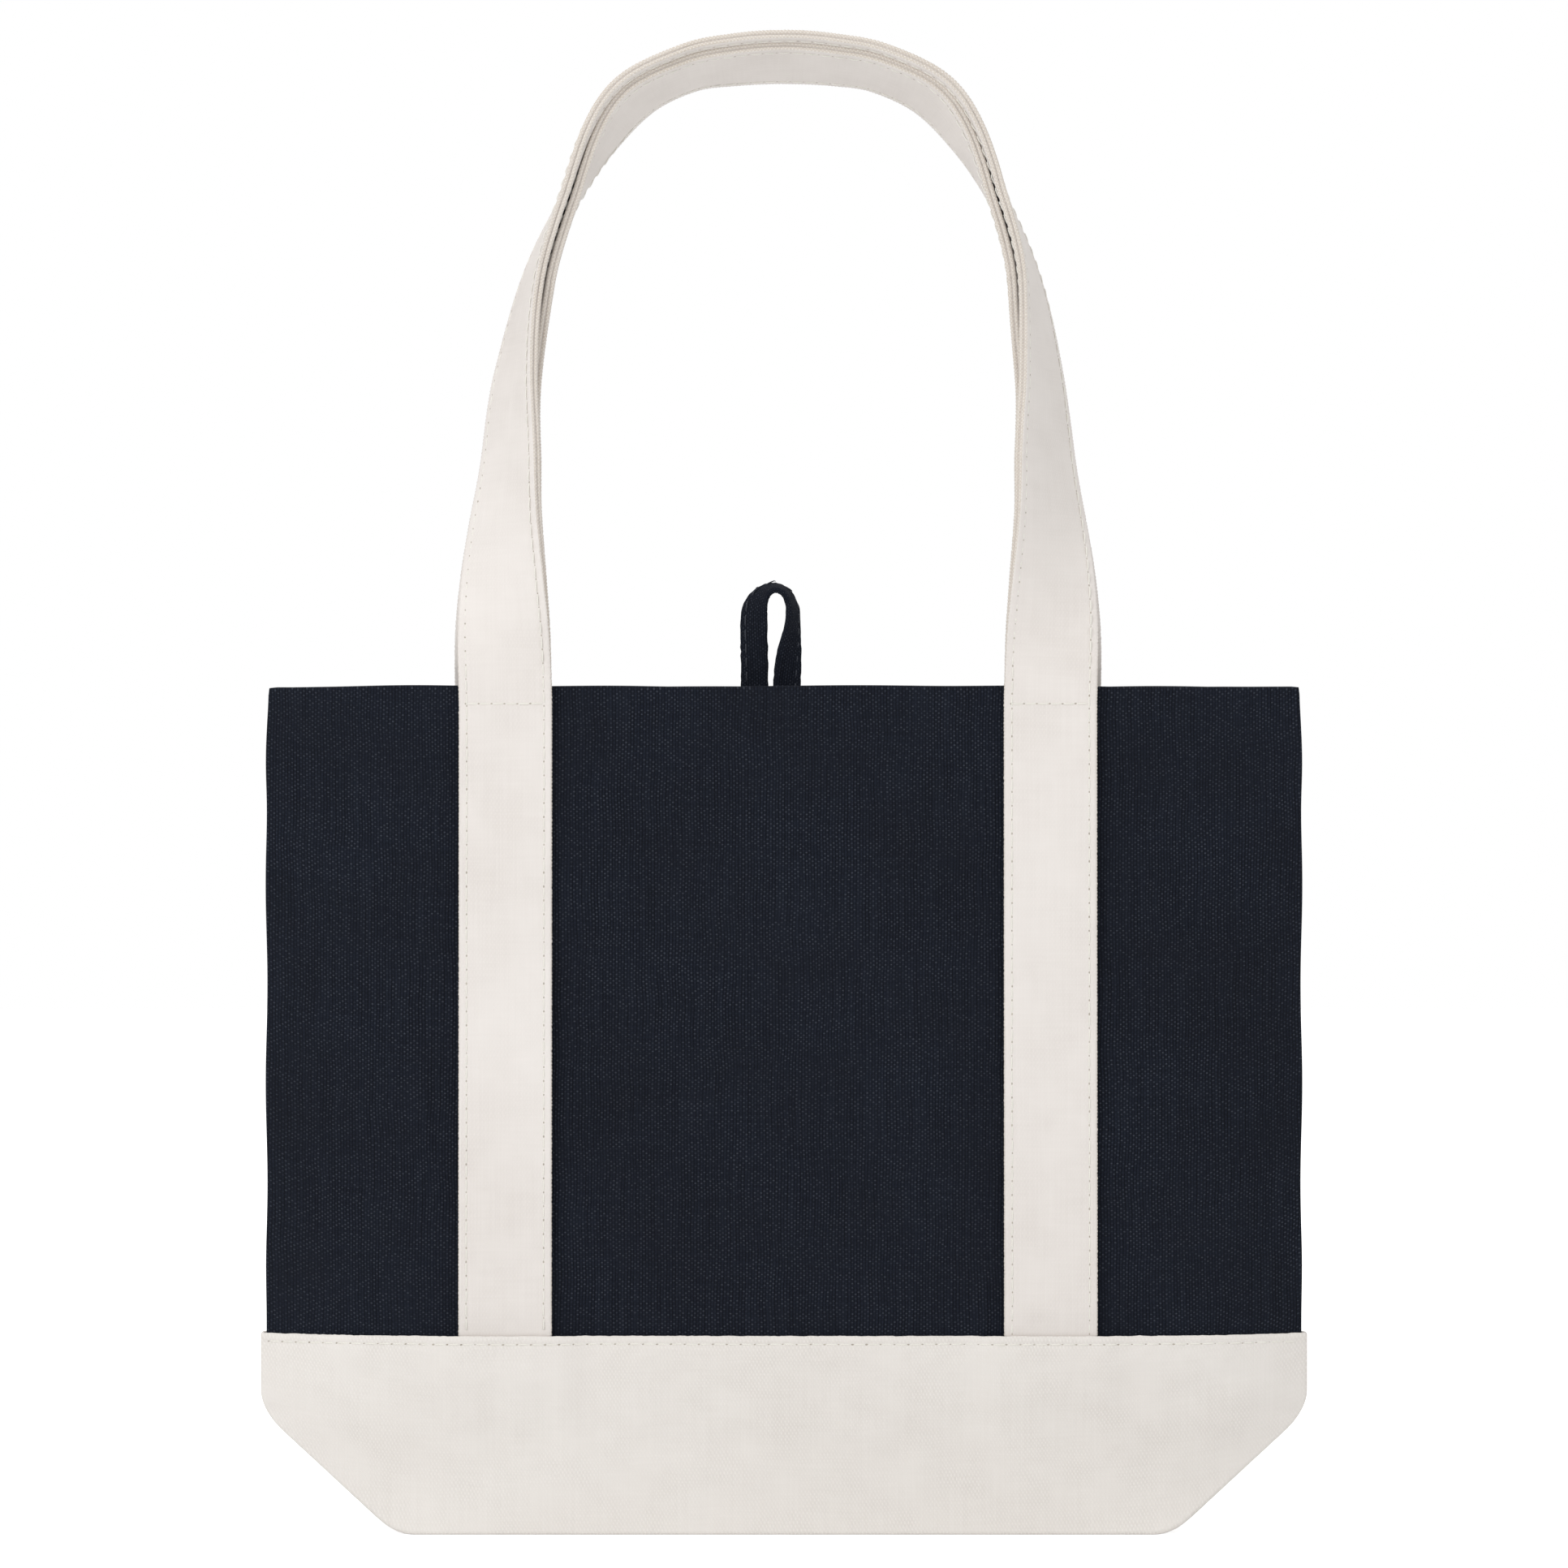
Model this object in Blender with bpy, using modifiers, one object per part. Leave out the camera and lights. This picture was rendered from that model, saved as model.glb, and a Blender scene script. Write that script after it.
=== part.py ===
"""A two-tone canvas tote bag, standing half open on the two folded edges of its boxed bottom.

Frame: +Z up, the front panel faces -Y, and the origin is on the floor under the middle of the bag.
Lengths are in metres. Each sheet of cloth is drawn as its middle surface and thickened afterwards.
"""

import math

import bmesh
import bpy
from mathutils import Matrix, Vector

# Overall sizes
BAG_WIDTH = 0.3485  # across the two side seams
BAG_HEIGHT = 0.281  # floor to the top of the hem
BASE_ABOVE_FOLD = 0.0257  # from the bottom's fold up to the base's top edge
GUSSET = 0.090  # depth of the boxed bottom when it is opened right out
STANDING_DEPTH = 0.040  # outside the front and back bottom edges, as it stands half open
MOUTH_DEPTH = 0.028  # outside the front and back panels at the hem

# Cloth
CANVAS = 0.0011
CLEARANCE = 0.0003  # between pieces that lie on each other
BINDING = 0.0006  # thickness of the tape over the raw seam edges
HEM_DEPTH = 0.025
SEAM_ALLOWANCE = 0.009
LAP = 0.010  # how far the panel runs down behind the base
PANEL_INSET = 0.0019  # each side of a panel from the side of the base that wraps it
FLAT_SHARE = 0.64  # share of the half width that is flat before it curves to the seam
BOTTOM_CORNER_ROUND = 0.006
SIDE_CORNER_ROUND = 0.0065

# Handles
STRAP_WIDTH = 0.031
STRAP_THICKNESS = 0.0032
STRAP_SPACING = 0.1806  # between the middles of the front handle's two legs
STRAP_OFFSET = -0.002  # both handles are sewn on a little off the bag's middle
BACK_STRAP_EXTRA = 0.005  # the back handle's legs are this much further apart
STRAP_TUCK = 0.008  # length of leg under the top edge of the base
STRAP_ANCHOR_DROP = 0.0055  # the cross stitch lies this far under the hem
HANDLE_RISE = 0.2116  # from the hem to the middle of the front handle's thickness at its top
ARCH_SHAPE = (  # one half of a handle: shares of half the strap spacing, and of the rise
    (1.000, 0.000), (1.008, 0.130), (1.004, 0.244), (0.986, 0.356), (0.970, 0.495), (0.915, 0.647),
    (0.808, 0.773), (0.692, 0.872), (0.556, 0.941), (0.359, 0.982), (0.188, 0.995), (0.000, 1.000),
)
NEST_GAP = 0.0008  # between the front arch and the back arch inside it
ARCH_DEPTH = 0.0015  # how far each arch stays on its own side of the middle
TWIST_START = 0.012  # length of strap over the hinge before it starts to turn on edge
TWIST_END = 0.180  # length of strap over the hinge where it is fully on edge
TWIST_SHAPE = (0.0, 0.27, 0.52, 0.655, 0.78, 0.92, 1.0)  # shares of a quarter turn
NEST_START = 0.085  # how far up the back handle begins to move inside the front one
NEST_LENGTH = 0.055  # and the length of strap over which it does so
LEAN_IN_LENGTH = 0.150  # length of strap over which it leans in to the middle

# Hanging loop
LOOP_OFFSET = -0.0045  # its middle, to the left of the bag's middle
LOOP_TAPE_WIDTH = 0.0092
LOOP_TAPE_THICKNESS = 0.0020
LOOP_HEIGHT = 0.034  # hem to the middle of the tape at the top
LOOP_LEG_SPACING = 0.0105
LOOP_END_LENGTH = 0.020
LOOP_FLIP_ROOM = 0.0012  # from the loop's hinge to the free part of its tape
LOOP_TURN = math.radians(72)  # how far the tape turns on edge over the top of the loop

NAVY = (0.013, 0.016, 0.024, 1.0)
CREAM = (0.80, 0.74, 0.67, 1.0)

# Worked out from the sizes above
LAYER = CANVAS + CLEARANCE  # between the middles of two sheets that lie on each other
FOLD_TURN = math.radians(60)  # a fold turns in three steps, the middle one flat
FOLD_REACH = LAYER / 2 * math.sin(FOLD_TURN) + CANVAS / 2  # of a fold, past the sheets' edge
SEAM_Y = LAYER / 2 + 0.0001  # middle of a seam allowance from the plane between the halves
EDGE_Y = SEAM_Y + LAYER  # middle of a panel where it turns round the seam
BOTTOM_Y = STANDING_DEPTH / 2 - CANVAS / 2
MOUTH_Y = MOUTH_DEPTH / 2 - CANVAS / 2
FULL_HALF = BAG_WIDTH / 2 - FOLD_REACH
RIDGE = math.sqrt((GUSSET / 2) ** 2 - (STANDING_DEPTH / 2) ** 2)  # height of the bottom's fold
BASE_HEIGHT = RIDGE + BASE_ABOVE_FOLD
FIN_TOP = RIDGE + SEAM_ALLOWANCE
HINGE_Z = BAG_HEIGHT - STRAP_ANCHOR_DROP
STRAP_LIFT = CANVAS / 2 + CLEARANCE + STRAP_THICKNESS / 2  # strap's middle from the panel's
FRONT, BACK = -1, 1


def smooth(value):
    """0 up to 0, 1 from 1, and a smooth step between."""
    value = min(1.0, max(0.0, value))
    return value * value * (3 - 2 * value)


def half_width(z):
    """Half width of the bag's outline at height z, inside the turn of the seam or fold."""
    corner = FULL_HALF - GUSSET / 2
    height = z - FOLD_REACH
    ridge = RIDGE - FOLD_REACH
    rise = ridge / (GUSSET / 2)
    if height < rise * BOTTOM_CORNER_ROUND:
        blend = math.sqrt(4 * BOTTOM_CORNER_ROUND * max(height, 0.0) / rise)
        return corner - BOTTOM_CORNER_ROUND + blend
    if height < ridge - SIDE_CORNER_ROUND:
        return corner + height / rise
    left = max(0.0, ridge + SIDE_CORNER_ROUND - height)
    return FULL_HALF - left**2 / (4 * SIDE_CORNER_ROUND * rise)


def panel_depth(z):
    """Distance of the flat middle of a panel from the bag's middle plane."""
    return BOTTOM_Y + (MOUTH_Y - BOTTOM_Y) * z / BAG_HEIGHT


def fold_depth(z):
    """Extra depth of the crease below the bottom's ridge: none at the ridge, all at the floor."""
    return (BOTTOM_Y - EDGE_Y) * max(0.0, (RIDGE - z) / (RIDGE - FOLD_REACH))


def skin_depth(x, z):
    """Distance of a panel's middle surface from the bag's middle plane."""
    edge = EDGE_Y + fold_depth(z)
    share = max(0.0, (abs(x) / half_width(z) - FLAT_SHARE) / (1 - FLAT_SHARE))
    return edge + (panel_depth(z) - edge) * (1 - min(1.0, share) ** 2)


def inner_depth(z):
    """The same for the cloth inside: seam allowances, and the bottom that is folded up."""
    return SEAM_Y + fold_depth(z)


def strap_x(side):
    """Middle of a strap's leg from the middle of the bag."""
    return (STRAP_SPACING + (BACK_STRAP_EXTRA if side == BACK else 0.0)) / 2


def base_lift(x, z, side):
    """How far the base stands off the panel: over the lap, and more over the tucked strap ends."""
    lap_start = BASE_HEIGHT - LAP
    over_lap = smooth((z - lap_start + 0.009) / 0.008)
    from_strap = abs(abs(x - STRAP_OFFSET) - strap_x(side)) - STRAP_WIDTH / 2 - CANVAS
    over_strap = 1 - smooth(from_strap / 0.006)
    bump = STRAP_THICKNESS + CLEARANCE
    return (LAYER + 0.0002 + bump * over_strap) * over_lap


def material(name, colour, roughness):
    made = bpy.data.materials.new(name)
    made.use_nodes = True
    shader = made.node_tree.nodes["Principled BSDF"]
    shader.inputs["Base Color"].default_value = colour
    shader.inputs["Roughness"].default_value = roughness
    shader.inputs["Metallic"].default_value = 0.0
    return made


def add_object(name, bm, thickness, look, smooth_faces=True):
    """A sheet's middle surface becomes an object, thickened evenly to both sides."""
    bmesh.ops.recalc_face_normals(bm, faces=bm.faces)
    mesh = bpy.data.meshes.new(name)
    bm.to_mesh(mesh)
    bm.free()
    mesh.materials.append(look)
    obj = bpy.data.objects.new(name, mesh)
    bag.objects.link(obj)
    solid = obj.modifiers.new("Thickness", "SOLIDIFY")
    solid.thickness = thickness
    solid.offset = 0.0
    solid.use_even_offset = True
    if smooth_faces:
        mesh.shade_smooth()
        mesh.set_sharp_from_angle(angle=math.radians(50))
    return obj


def add_quads(bm, first, second):
    """Faces between two lists of vertices; a None leaves its faces out."""
    for a, b, c, d in zip(first, first[1:], second[1:], second):
        if None not in (a, b, c, d) and len({a, b, c, d}) == 4:
            bm.faces.new((a, b, c, d))


def column_positions(side):
    """Shares of the half width, from one seam to the other, closer together where it bends."""
    strap = strap_x(side)
    edge = STRAP_WIDTH / 2 + CANVAS
    wide = [0.0, 0.5 * (strap - edge), strap - edge - 0.006, strap - edge, strap]
    wide += [strap + edge, strap + edge + 0.006]
    allowance = 1 - SEAM_ALLOWANCE / FULL_HALF
    steps = 4
    halves = []
    for across in (-1, 1):
        half = [(STRAP_OFFSET + across * x) / FULL_HALF for x in wide]
        last, end = half[-1], across * allowance
        half += [last + (end - last) * (i + 1) / steps for i in range(steps)]
        halves.append(half + [float(across)])
    return halves[0][:0:-1] + halves[1]


def outward(points, index):
    """Unit normal of an outline, in the XZ plane, at one of its points."""
    before, after = points[max(0, index - 1)], points[min(len(points) - 1, index + 1)]
    run = after - before
    return Vector((run.z, 0.0, -run.x)).normalized()


def turn_edge(bm, outer, inner):
    """Joins the rim of the outer sheet to the rim of the inner one with a fold in three steps."""
    points = [vertex.co.copy() for vertex in outer]
    rings = [outer]
    for step in (1, 2):
        ring = []
        for index, (near, far) in enumerate(zip(outer, inner)):
            middle, reach = (near.co + far.co) / 2, (near.co - far.co) / 2
            out = outward(points, index) * min(reach.length, LAYER / 2)
            turn = FOLD_TURN * step
            ring.append(bm.verts.new(middle + reach * math.cos(turn) + out * math.sin(turn)))
        rings.append(ring)
    rings.append(inner)
    for first, second in zip(rings, rings[1:]):
        add_quads(bm, first, second)


def outer_sheet(bm, side, rows, columns, lift, inset=0.0):
    """The face of one half of the bag, as rows of vertices from low to high."""
    sheet = []
    for z in rows:
        row = []
        for share in columns:
            x = share * (half_width(z) - inset)
            depth = skin_depth(x, z) + lift(x, z, side)
            row.append(bm.verts.new((x, side * depth, z)))
        sheet.append(row)
    for low, high in zip(sheet, sheet[1:]):
        add_quads(bm, low, high)
    return sheet


def inner_sheet(bm, side, rows, columns, full_to, allowance_to, inset=0.0):
    """The cloth inside: right across up to full_to, then only the side seam allowances."""
    count = len(columns)
    sheet = []
    for z in rows:
        if z > allowance_to + 1e-6:
            break
        row = []
        for index, share in enumerate(columns):
            wanted = z <= full_to + 1e-6 or index in (0, 1, count - 2, count - 1)
            place = (share * (half_width(z) - inset), side * inner_depth(z), z)
            row.append(bm.verts.new(place) if wanted else None)
        sheet.append(row)
    return sheet


def bottom_seam_skipped(share):
    """The bottom's seam allowance stops either side of the boxed corner's own seam."""
    corner = FULL_HALF - GUSSET / 2
    return abs(abs(share) * FULL_HALF - corner) < 0.011


def build_base(name, side):
    """Front or back half of the base: its face, and its half of the bottom folded up inside."""
    bm = bmesh.new()
    columns = column_positions(side)
    lap_start = BASE_HEIGHT - LAP
    rows = [FOLD_REACH, 0.004, 0.009, 0.018, 0.029, RIDGE, FIN_TOP]
    rows += [lap_start - 0.001, lap_start + 0.003, BASE_HEIGHT]
    outer = outer_sheet(bm, side, rows, columns, base_lift)
    inner = inner_sheet(bm, side, rows, columns, FIN_TOP, FIN_TOP)
    for low, high, z in zip(inner, inner[1:], rows[1:]):
        if z < FIN_TOP - 1e-6:
            add_quads(bm, low, high)
            continue
        keep = [not bottom_seam_skipped(share) for share in columns]
        low = [vertex if kept else None for vertex, kept in zip(low, keep)]
        add_quads(bm, low, high)
    for z in rows[len(inner) :]:
        ends = [side * Vector((0, CANVAS / 2 + 0.0001, 0)) + Vector((share * half_width(z), 0, z))
                for share in (columns[0], columns[-1])]
        left, right = (bm.verts.new(place) for place in ends)
        inner.append([left] + [None] * (len(columns) - 2) + [right])
    levels = range(len(inner) - 1, 0, -1)
    rim = [(level, 0) for level in levels]
    rim += [(0, index) for index in range(len(columns))]
    rim += [(level, len(columns) - 1) for level in reversed(levels)]
    turn_edge(bm, [outer[j][i] for j, i in rim], [inner[j][i] for j, i in rim])
    loose = [vertex for vertex in bm.verts if not vertex.link_faces]
    bmesh.ops.delete(bm, geom=loose, context="VERTS")
    return add_object(name, bm, CANVAS, cream)


def build_panel(name, side):
    """Front or back navy panel, with its side allowances turned in and its hem turned down."""
    bm = bmesh.new()
    columns = column_positions(side)
    top = BAG_HEIGHT - FOLD_REACH
    low = BASE_HEIGHT - LAP
    hem_low = BAG_HEIGHT - HEM_DEPTH
    rows = [low + (hem_low - low) * share for share in (0, 0.2, 0.4, 0.6, 0.8, 1)]
    rows += [BAG_HEIGHT - HEM_DEPTH / 2, top]
    outer = outer_sheet(bm, side, rows, columns, lambda x, z, side: 0.0, PANEL_INSET)
    inner = inner_sheet(bm, side, rows, columns, 0.0, top, PANEL_INSET)
    for first, second in zip(inner, inner[1:]):
        add_quads(bm, first, second)
    last = len(columns) - 1
    turn_edge(bm, [row[0] for row in reversed(outer)], [row[0] for row in reversed(inner)])
    turn_edge(bm, [row[last] for row in outer], [row[last] for row in inner])

    hem_range = range(3, last - 2)
    crest = [outer[-1][i] for i in hem_range]
    hem_rows = []
    for z in (top, BAG_HEIGHT - HEM_DEPTH / 2, hem_low):
        row = []
        for i in hem_range:
            x = columns[i] * (half_width(z) - PANEL_INSET)
            row.append(bm.verts.new((x, side * (skin_depth(x, z) - LAYER), z)))
        hem_rows.append(row)
    for first, second in zip(hem_rows, hem_rows[1:]):
        add_quads(bm, first, second)
    rings = [crest]
    for step in (1, 2):
        turn = FOLD_TURN * step
        depth = LAYER / 2 * (1 - math.cos(turn))
        height = LAYER / 2 * math.sin(turn)
        rings.append(
            [bm.verts.new(v.co + Vector((0, -side * depth, height))) for v in crest]
        )
    rings.append(hem_rows[0])
    for first, second in zip(rings, rings[1:]):
        add_quads(bm, first, second)
    return add_object(name, bm, CANVAS, navy)


def build_ribbon(name, stations, width, thickness, look):
    """A flat strap through stations of (middle, direction across it)."""
    bm = bmesh.new()
    rails = [[], []]
    for middle, across in stations:
        for rail, reach in zip(rails, (-width / 2, width / 2)):
            rail.append(bm.verts.new(middle + across * reach))
    add_quads(bm, rails[0], rails[1])
    return add_object(name, bm, thickness, look)


def build_strap_leg(name, side, across):
    """The sewn length of a handle, from under the base's top edge up to the cross stitch."""
    low = BASE_HEIGHT - STRAP_TUCK
    high = HINGE_Z - CLEARANCE / 2
    x = STRAP_OFFSET + across * strap_x(side)
    stations = [
        (Vector((x, side * (panel_depth(z) + STRAP_LIFT), z)), Vector((1, 0, 0)))
        for z in (low, high)
    ]
    return build_ribbon(name, stations, STRAP_WIDTH, STRAP_THICKNESS, cream)


def spline_point(points, share):
    """A point at this share of a smooth line through several."""
    at = share * (len(points) - 1)
    index = min(len(points) - 2, int(at))
    t = at - index
    before = points[index - 1] if index else points[0] * 2 - points[1]
    start, end = points[index], points[index + 1]
    mirrored = Vector((-points[-2].x, 0.0, points[-2].z))
    after = points[index + 2] if index + 2 < len(points) else mirrored
    bend = before * 2 - start * 5 + end * 4 - after
    return (start * 2 + (end - before) * t + bend * t**2
            + (start * 3 - before - end * 3 + after) * t**3) / 2


def half_arch(side, inset):
    """Points of one half of a handle's middle line, from its hinge to the top, with x over 0."""
    start = HINGE_Z + CLEARANCE / 2
    half, rise = STRAP_SPACING / 2, HANDLE_RISE
    knots = [Vector((half * x, 0.0, BAG_HEIGHT + rise * up)) for x, up in ARCH_SHAPE]
    knots[0].z = start
    line = [spline_point(knots, step / 30) for step in range(31)]
    line[-1].x = 0.0
    points, length = [], 0.0
    for index, point in enumerate(line):
        if index:
            length += (point - line[index - 1]).length
        run = line[min(index + 1, len(line) - 1)] - line[max(index - 1, 0)]
        inward = Vector((-run.z, 0.0, run.x)).normalized()
        if index == len(line) - 1:
            inward = Vector((0.0, 0.0, -1.0))
        nested = smooth((length - NEST_START) / NEST_LENGTH)
        apart = Vector((strap_x(side) - STRAP_SPACING / 2, 0.0, 0.0)) * (1 - smooth(length / NEST_START))
        points.append(point + inward * inset * nested + apart)
    points[0].z = start
    points[-1].x = 0.0
    return points


def twist_share(length):
    """Share of a quarter turn that a handle has made at this length of strap over its hinge."""
    last = len(TWIST_SHAPE) - 1
    at = min(1.0, max(0.0, (length - TWIST_START) / (TWIST_END - TWIST_START))) * last
    index = min(last - 1, int(at))
    before, after = TWIST_SHAPE[index], TWIST_SHAPE[index + 1]
    return before + (after - before) * (at - index)


def arch_offset(z):
    """How far a handle is off the bag's middle: less and less towards the top."""
    return STRAP_OFFSET * (1 - smooth((z - BAG_HEIGHT) / HANDLE_RISE * 2.4 - 1.0))


def arch_stations(side, inset):
    """Stations of a whole handle: flat at its legs, turned on edge over the top."""
    points = half_arch(side, inset)
    hem_y = side * (panel_depth(HINGE_Z) + STRAP_LIFT)
    arch_y = side * ARCH_DEPTH
    length = 0.0
    half = []
    for index, point in enumerate(points):
        if index:
            length += (point - points[index - 1]).length
        run = points[min(index + 1, len(points) - 1)] - points[max(index - 1, 0)]
        inward = Vector((-run.z, 0.0, run.x)).normalized()
        if index == 0:
            inward = Vector((-1.0, 0.0, 0.0))
        if index == len(points) - 1:
            inward = Vector((0.0, 0.0, -1.0))
        turn = math.pi / 2 * twist_share(length)
        across = inward * math.cos(turn) + Vector((0, -1, 0)) * math.sin(turn)
        y = hem_y + (arch_y - hem_y) * smooth(length / LEAN_IN_LENGTH)
        half.append((Vector((point.x, y, point.z)), across))
    mirrored = [
        (Vector((-middle.x, middle.y, middle.z)), Vector((-across.x, across.y, across.z)))
        for middle, across in half[:-1]
    ]
    stations = half + mirrored[::-1]
    for middle, _ in stations:
        middle.x += arch_offset(middle.z)
    return stations


def loop_depth():
    """Middle of the hanging loop's tape: on the inside of the back panel's hem."""
    hem_face = panel_depth(BAG_HEIGHT) - LAYER - CANVAS / 2
    return hem_face - CLEARANCE - LOOP_TAPE_THICKNESS / 2


def loop_hinge_z():
    return BAG_HEIGHT + LOOP_TAPE_THICKNESS / 2 + CLEARANCE


def add_hinge(name, place, child):
    """An empty on a joint's axis, which runs along X; the piece that turns is its child."""
    empty = bpy.data.objects.new(name, None)
    empty.location = place
    empty.empty_display_size = 0.01
    bag.objects.link(empty)
    child.parent = empty
    child.matrix_parent_inverse = Matrix.Translation(place).inverted()


def build_loop_end(name, across):
    """One sewn end of the loop's tape, inside the back hem."""
    x = LOOP_OFFSET + across * LOOP_LEG_SPACING / 2
    high = loop_hinge_z() - CLEARANCE / 2
    stations = [
        (Vector((x, loop_depth(), z)), Vector((1, 0, 0))) for z in (high - LOOP_END_LENGTH, high)
    ]
    return build_ribbon(name, stations, LOOP_TAPE_WIDTH, LOOP_TAPE_THICKNESS, navy)


def loop_stations():
    """The free part of the loop: two flat legs, and tape that turns on edge over the top."""
    radius = LOOP_LEG_SPACING / 2
    start = loop_hinge_z() + LOOP_FLIP_ROOM
    top = BAG_HEIGHT + LOOP_HEIGHT
    spring = top - 1.5 * radius
    stations = []
    steps = 12
    for step in range(-steps, steps + 1):
        share = abs(step) / steps
        side = -1 if step < 0 else 1
        if share > 0.5:
            drop = (share - 0.5) * 2
            point = Vector((side * radius, 0.0, spring - (spring - start) * drop))
            inward = Vector((-side, 0.0, 0.0))
            turn = LOOP_TURN * (1 - smooth(drop))
        else:
            angle = math.pi / 2 * share * 2
            point = Vector((side * radius * math.sin(angle), 0.0, 0.0))
            point.z = spring + (top - spring) * math.cos(angle)
            inward = Vector((-side * math.sin(angle), 0.0, -math.cos(angle)))
            turn = LOOP_TURN
        point += Vector((LOOP_OFFSET, loop_depth(), 0.0))
        across = inward * math.cos(turn) + Vector((0, -1, 0)) * math.sin(turn)
        stations.append((point, across))
    return stations


def build_channel(name, path, sideways, half_gap, length, look):
    """Binding tape folded over a raw edge: a channel along path that opens along sideways."""
    bm = bmesh.new()
    wall = half_gap + CLEARANCE + BINDING / 2
    open_way = sideways.normalized()
    rows = []
    for point in path:
        profile = [
            point + open_way * length + Vector((0, -wall, 0)),
            point + Vector((0, -wall, 0)),
            point + Vector((0, wall, 0)),
            point + open_way * length + Vector((0, wall, 0)),
        ]
        rows.append([bm.verts.new(place) for place in profile])
    for first, second in zip(rows, rows[1:]):
        add_quads(bm, first, second)
    return add_object(name, bm, BINDING, look, smooth_faces=False)


def build_side_binding(name, across):
    """Tape over the side seam's allowances, from over the lap up to the hem."""
    back_of_tape = FULL_HALF - PANEL_INSET - SEAM_ALLOWANCE - CLEARANCE - BINDING / 2
    x = across * back_of_tape
    low = BASE_HEIGHT - LAP + CLEARANCE
    high = BAG_HEIGHT - HEM_DEPTH - CLEARANCE
    path = [Vector((x, 0.0, z)) for z in (low, (low + high) / 2, high)]
    reach = SEAM_ALLOWANCE - 2.5 * LAYER
    way = Vector((across, 0, 0))
    return build_channel(name, path, way, SEAM_Y + CANVAS / 2, reach, navy)


def build_bottom_binding():
    """Tape over the bottom seam's allowance, along the ridge inside the bag."""
    corner = FULL_HALF - GUSSET / 2
    reach_x = corner - 0.016
    z = FIN_TOP + CLEARANCE + BINDING / 2
    path = [Vector((x, 0.0, z)) for x in (-reach_x, 0.0, reach_x)]
    reach = SEAM_ALLOWANCE - 2 * LAYER
    way = Vector((0, 0, -1))
    return build_channel("bottom_seam_binding", path, way, SEAM_Y + CANVAS / 2, reach, navy)


def build_corner_binding(name, across):
    """Tape over a boxed corner's seam: up the front half of the bottom, over the ridge and down."""
    width = 0.009
    off = CANVAS / 2 + CLEARANCE + BINDING
    x = across * (FULL_HALF - GUSSET / 2)
    low = RIDGE * 0.5
    stations = []
    for side in (FRONT, BACK):
        heights = (low, RIDGE - 0.002) if side == FRONT else (RIDGE - 0.002, low)
        for z in heights:
            lean = Vector((0.0, side * inner_depth(z), z))
            slope = Vector((0.0, -side * BOTTOM_Y, RIDGE)).normalized()
            away = Vector((0.0, side * slope.z, abs(slope.y)))
            stations.append((Vector((x, 0, 0)) + lean + away * off * 1.2, Vector((1, 0, 0))))
        if side == FRONT:
            crest = Vector((x, 0.0, RIDGE + off * 2.6))
            stations.append((crest, Vector((1, 0, 0))))
    return build_ribbon(name, stations, width, 2 * BINDING, navy)


for old in list(bpy.data.objects):
    bpy.data.objects.remove(old)
bag = bpy.data.collections.new("canvas_tote_bag")
bpy.context.scene.collection.children.link(bag)
navy = material("navy_canvas", NAVY, 0.95)
cream = material("cream_canvas", CREAM, 0.9)

build_panel("front_panel", FRONT)
build_panel("back_panel", BACK)
build_base("front_base", FRONT)
build_base("back_base", BACK)
build_side_binding("left_side_seam_binding", -1)
build_side_binding("right_side_seam_binding", 1)
build_bottom_binding()
build_corner_binding("left_corner_seam_binding", -1)
build_corner_binding("right_corner_seam_binding", 1)
for face, side in (("front", FRONT), ("back", BACK)):
    build_strap_leg(face + "_strap_left", side, -1)
    build_strap_leg(face + "_strap_right", side, 1)
    nesting = 0.0 if side == FRONT else STRAP_THICKNESS + NEST_GAP
    stations = arch_stations(side, nesting)
    handle = build_ribbon(face + "_handle", stations, STRAP_WIDTH, STRAP_THICKNESS, cream)
    hinge_y = panel_depth(HINGE_Z) + STRAP_LIFT + STRAP_THICKNESS / 2 + CLEARANCE
    add_hinge(face + "_handle_hinge", Vector((0.0, side * hinge_y, HINGE_Z)), handle)
build_loop_end("loop_end_left", -1)
build_loop_end("loop_end_right", 1)
loop = build_ribbon("hanging_loop", loop_stations(), LOOP_TAPE_WIDTH, LOOP_TAPE_THICKNESS, navy)
add_hinge("hanging_loop_hinge", Vector((LOOP_OFFSET, loop_depth(), loop_hinge_z())), loop)
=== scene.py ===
import math

import bmesh
import bpy
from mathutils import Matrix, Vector, noise


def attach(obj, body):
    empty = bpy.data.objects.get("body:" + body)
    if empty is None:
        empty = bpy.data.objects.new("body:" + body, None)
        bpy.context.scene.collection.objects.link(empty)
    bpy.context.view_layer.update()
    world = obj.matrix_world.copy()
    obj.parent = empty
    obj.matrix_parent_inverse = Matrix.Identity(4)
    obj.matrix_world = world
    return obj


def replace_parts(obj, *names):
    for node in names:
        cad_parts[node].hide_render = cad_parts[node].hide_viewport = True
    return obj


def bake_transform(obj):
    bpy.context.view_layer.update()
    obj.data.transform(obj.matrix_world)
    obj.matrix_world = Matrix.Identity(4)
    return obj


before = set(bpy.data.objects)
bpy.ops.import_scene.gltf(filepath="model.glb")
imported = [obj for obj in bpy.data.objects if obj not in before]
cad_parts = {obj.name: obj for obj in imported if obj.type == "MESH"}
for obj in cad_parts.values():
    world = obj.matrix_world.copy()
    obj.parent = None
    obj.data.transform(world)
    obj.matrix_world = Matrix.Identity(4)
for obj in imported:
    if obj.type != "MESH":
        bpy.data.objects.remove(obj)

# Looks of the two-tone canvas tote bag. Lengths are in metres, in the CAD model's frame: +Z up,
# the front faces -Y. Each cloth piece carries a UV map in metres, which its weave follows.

# The CAD model's driving sizes, as part.py names them
BAG_WIDTH = 0.3485
BAG_HEIGHT = 0.281
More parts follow.
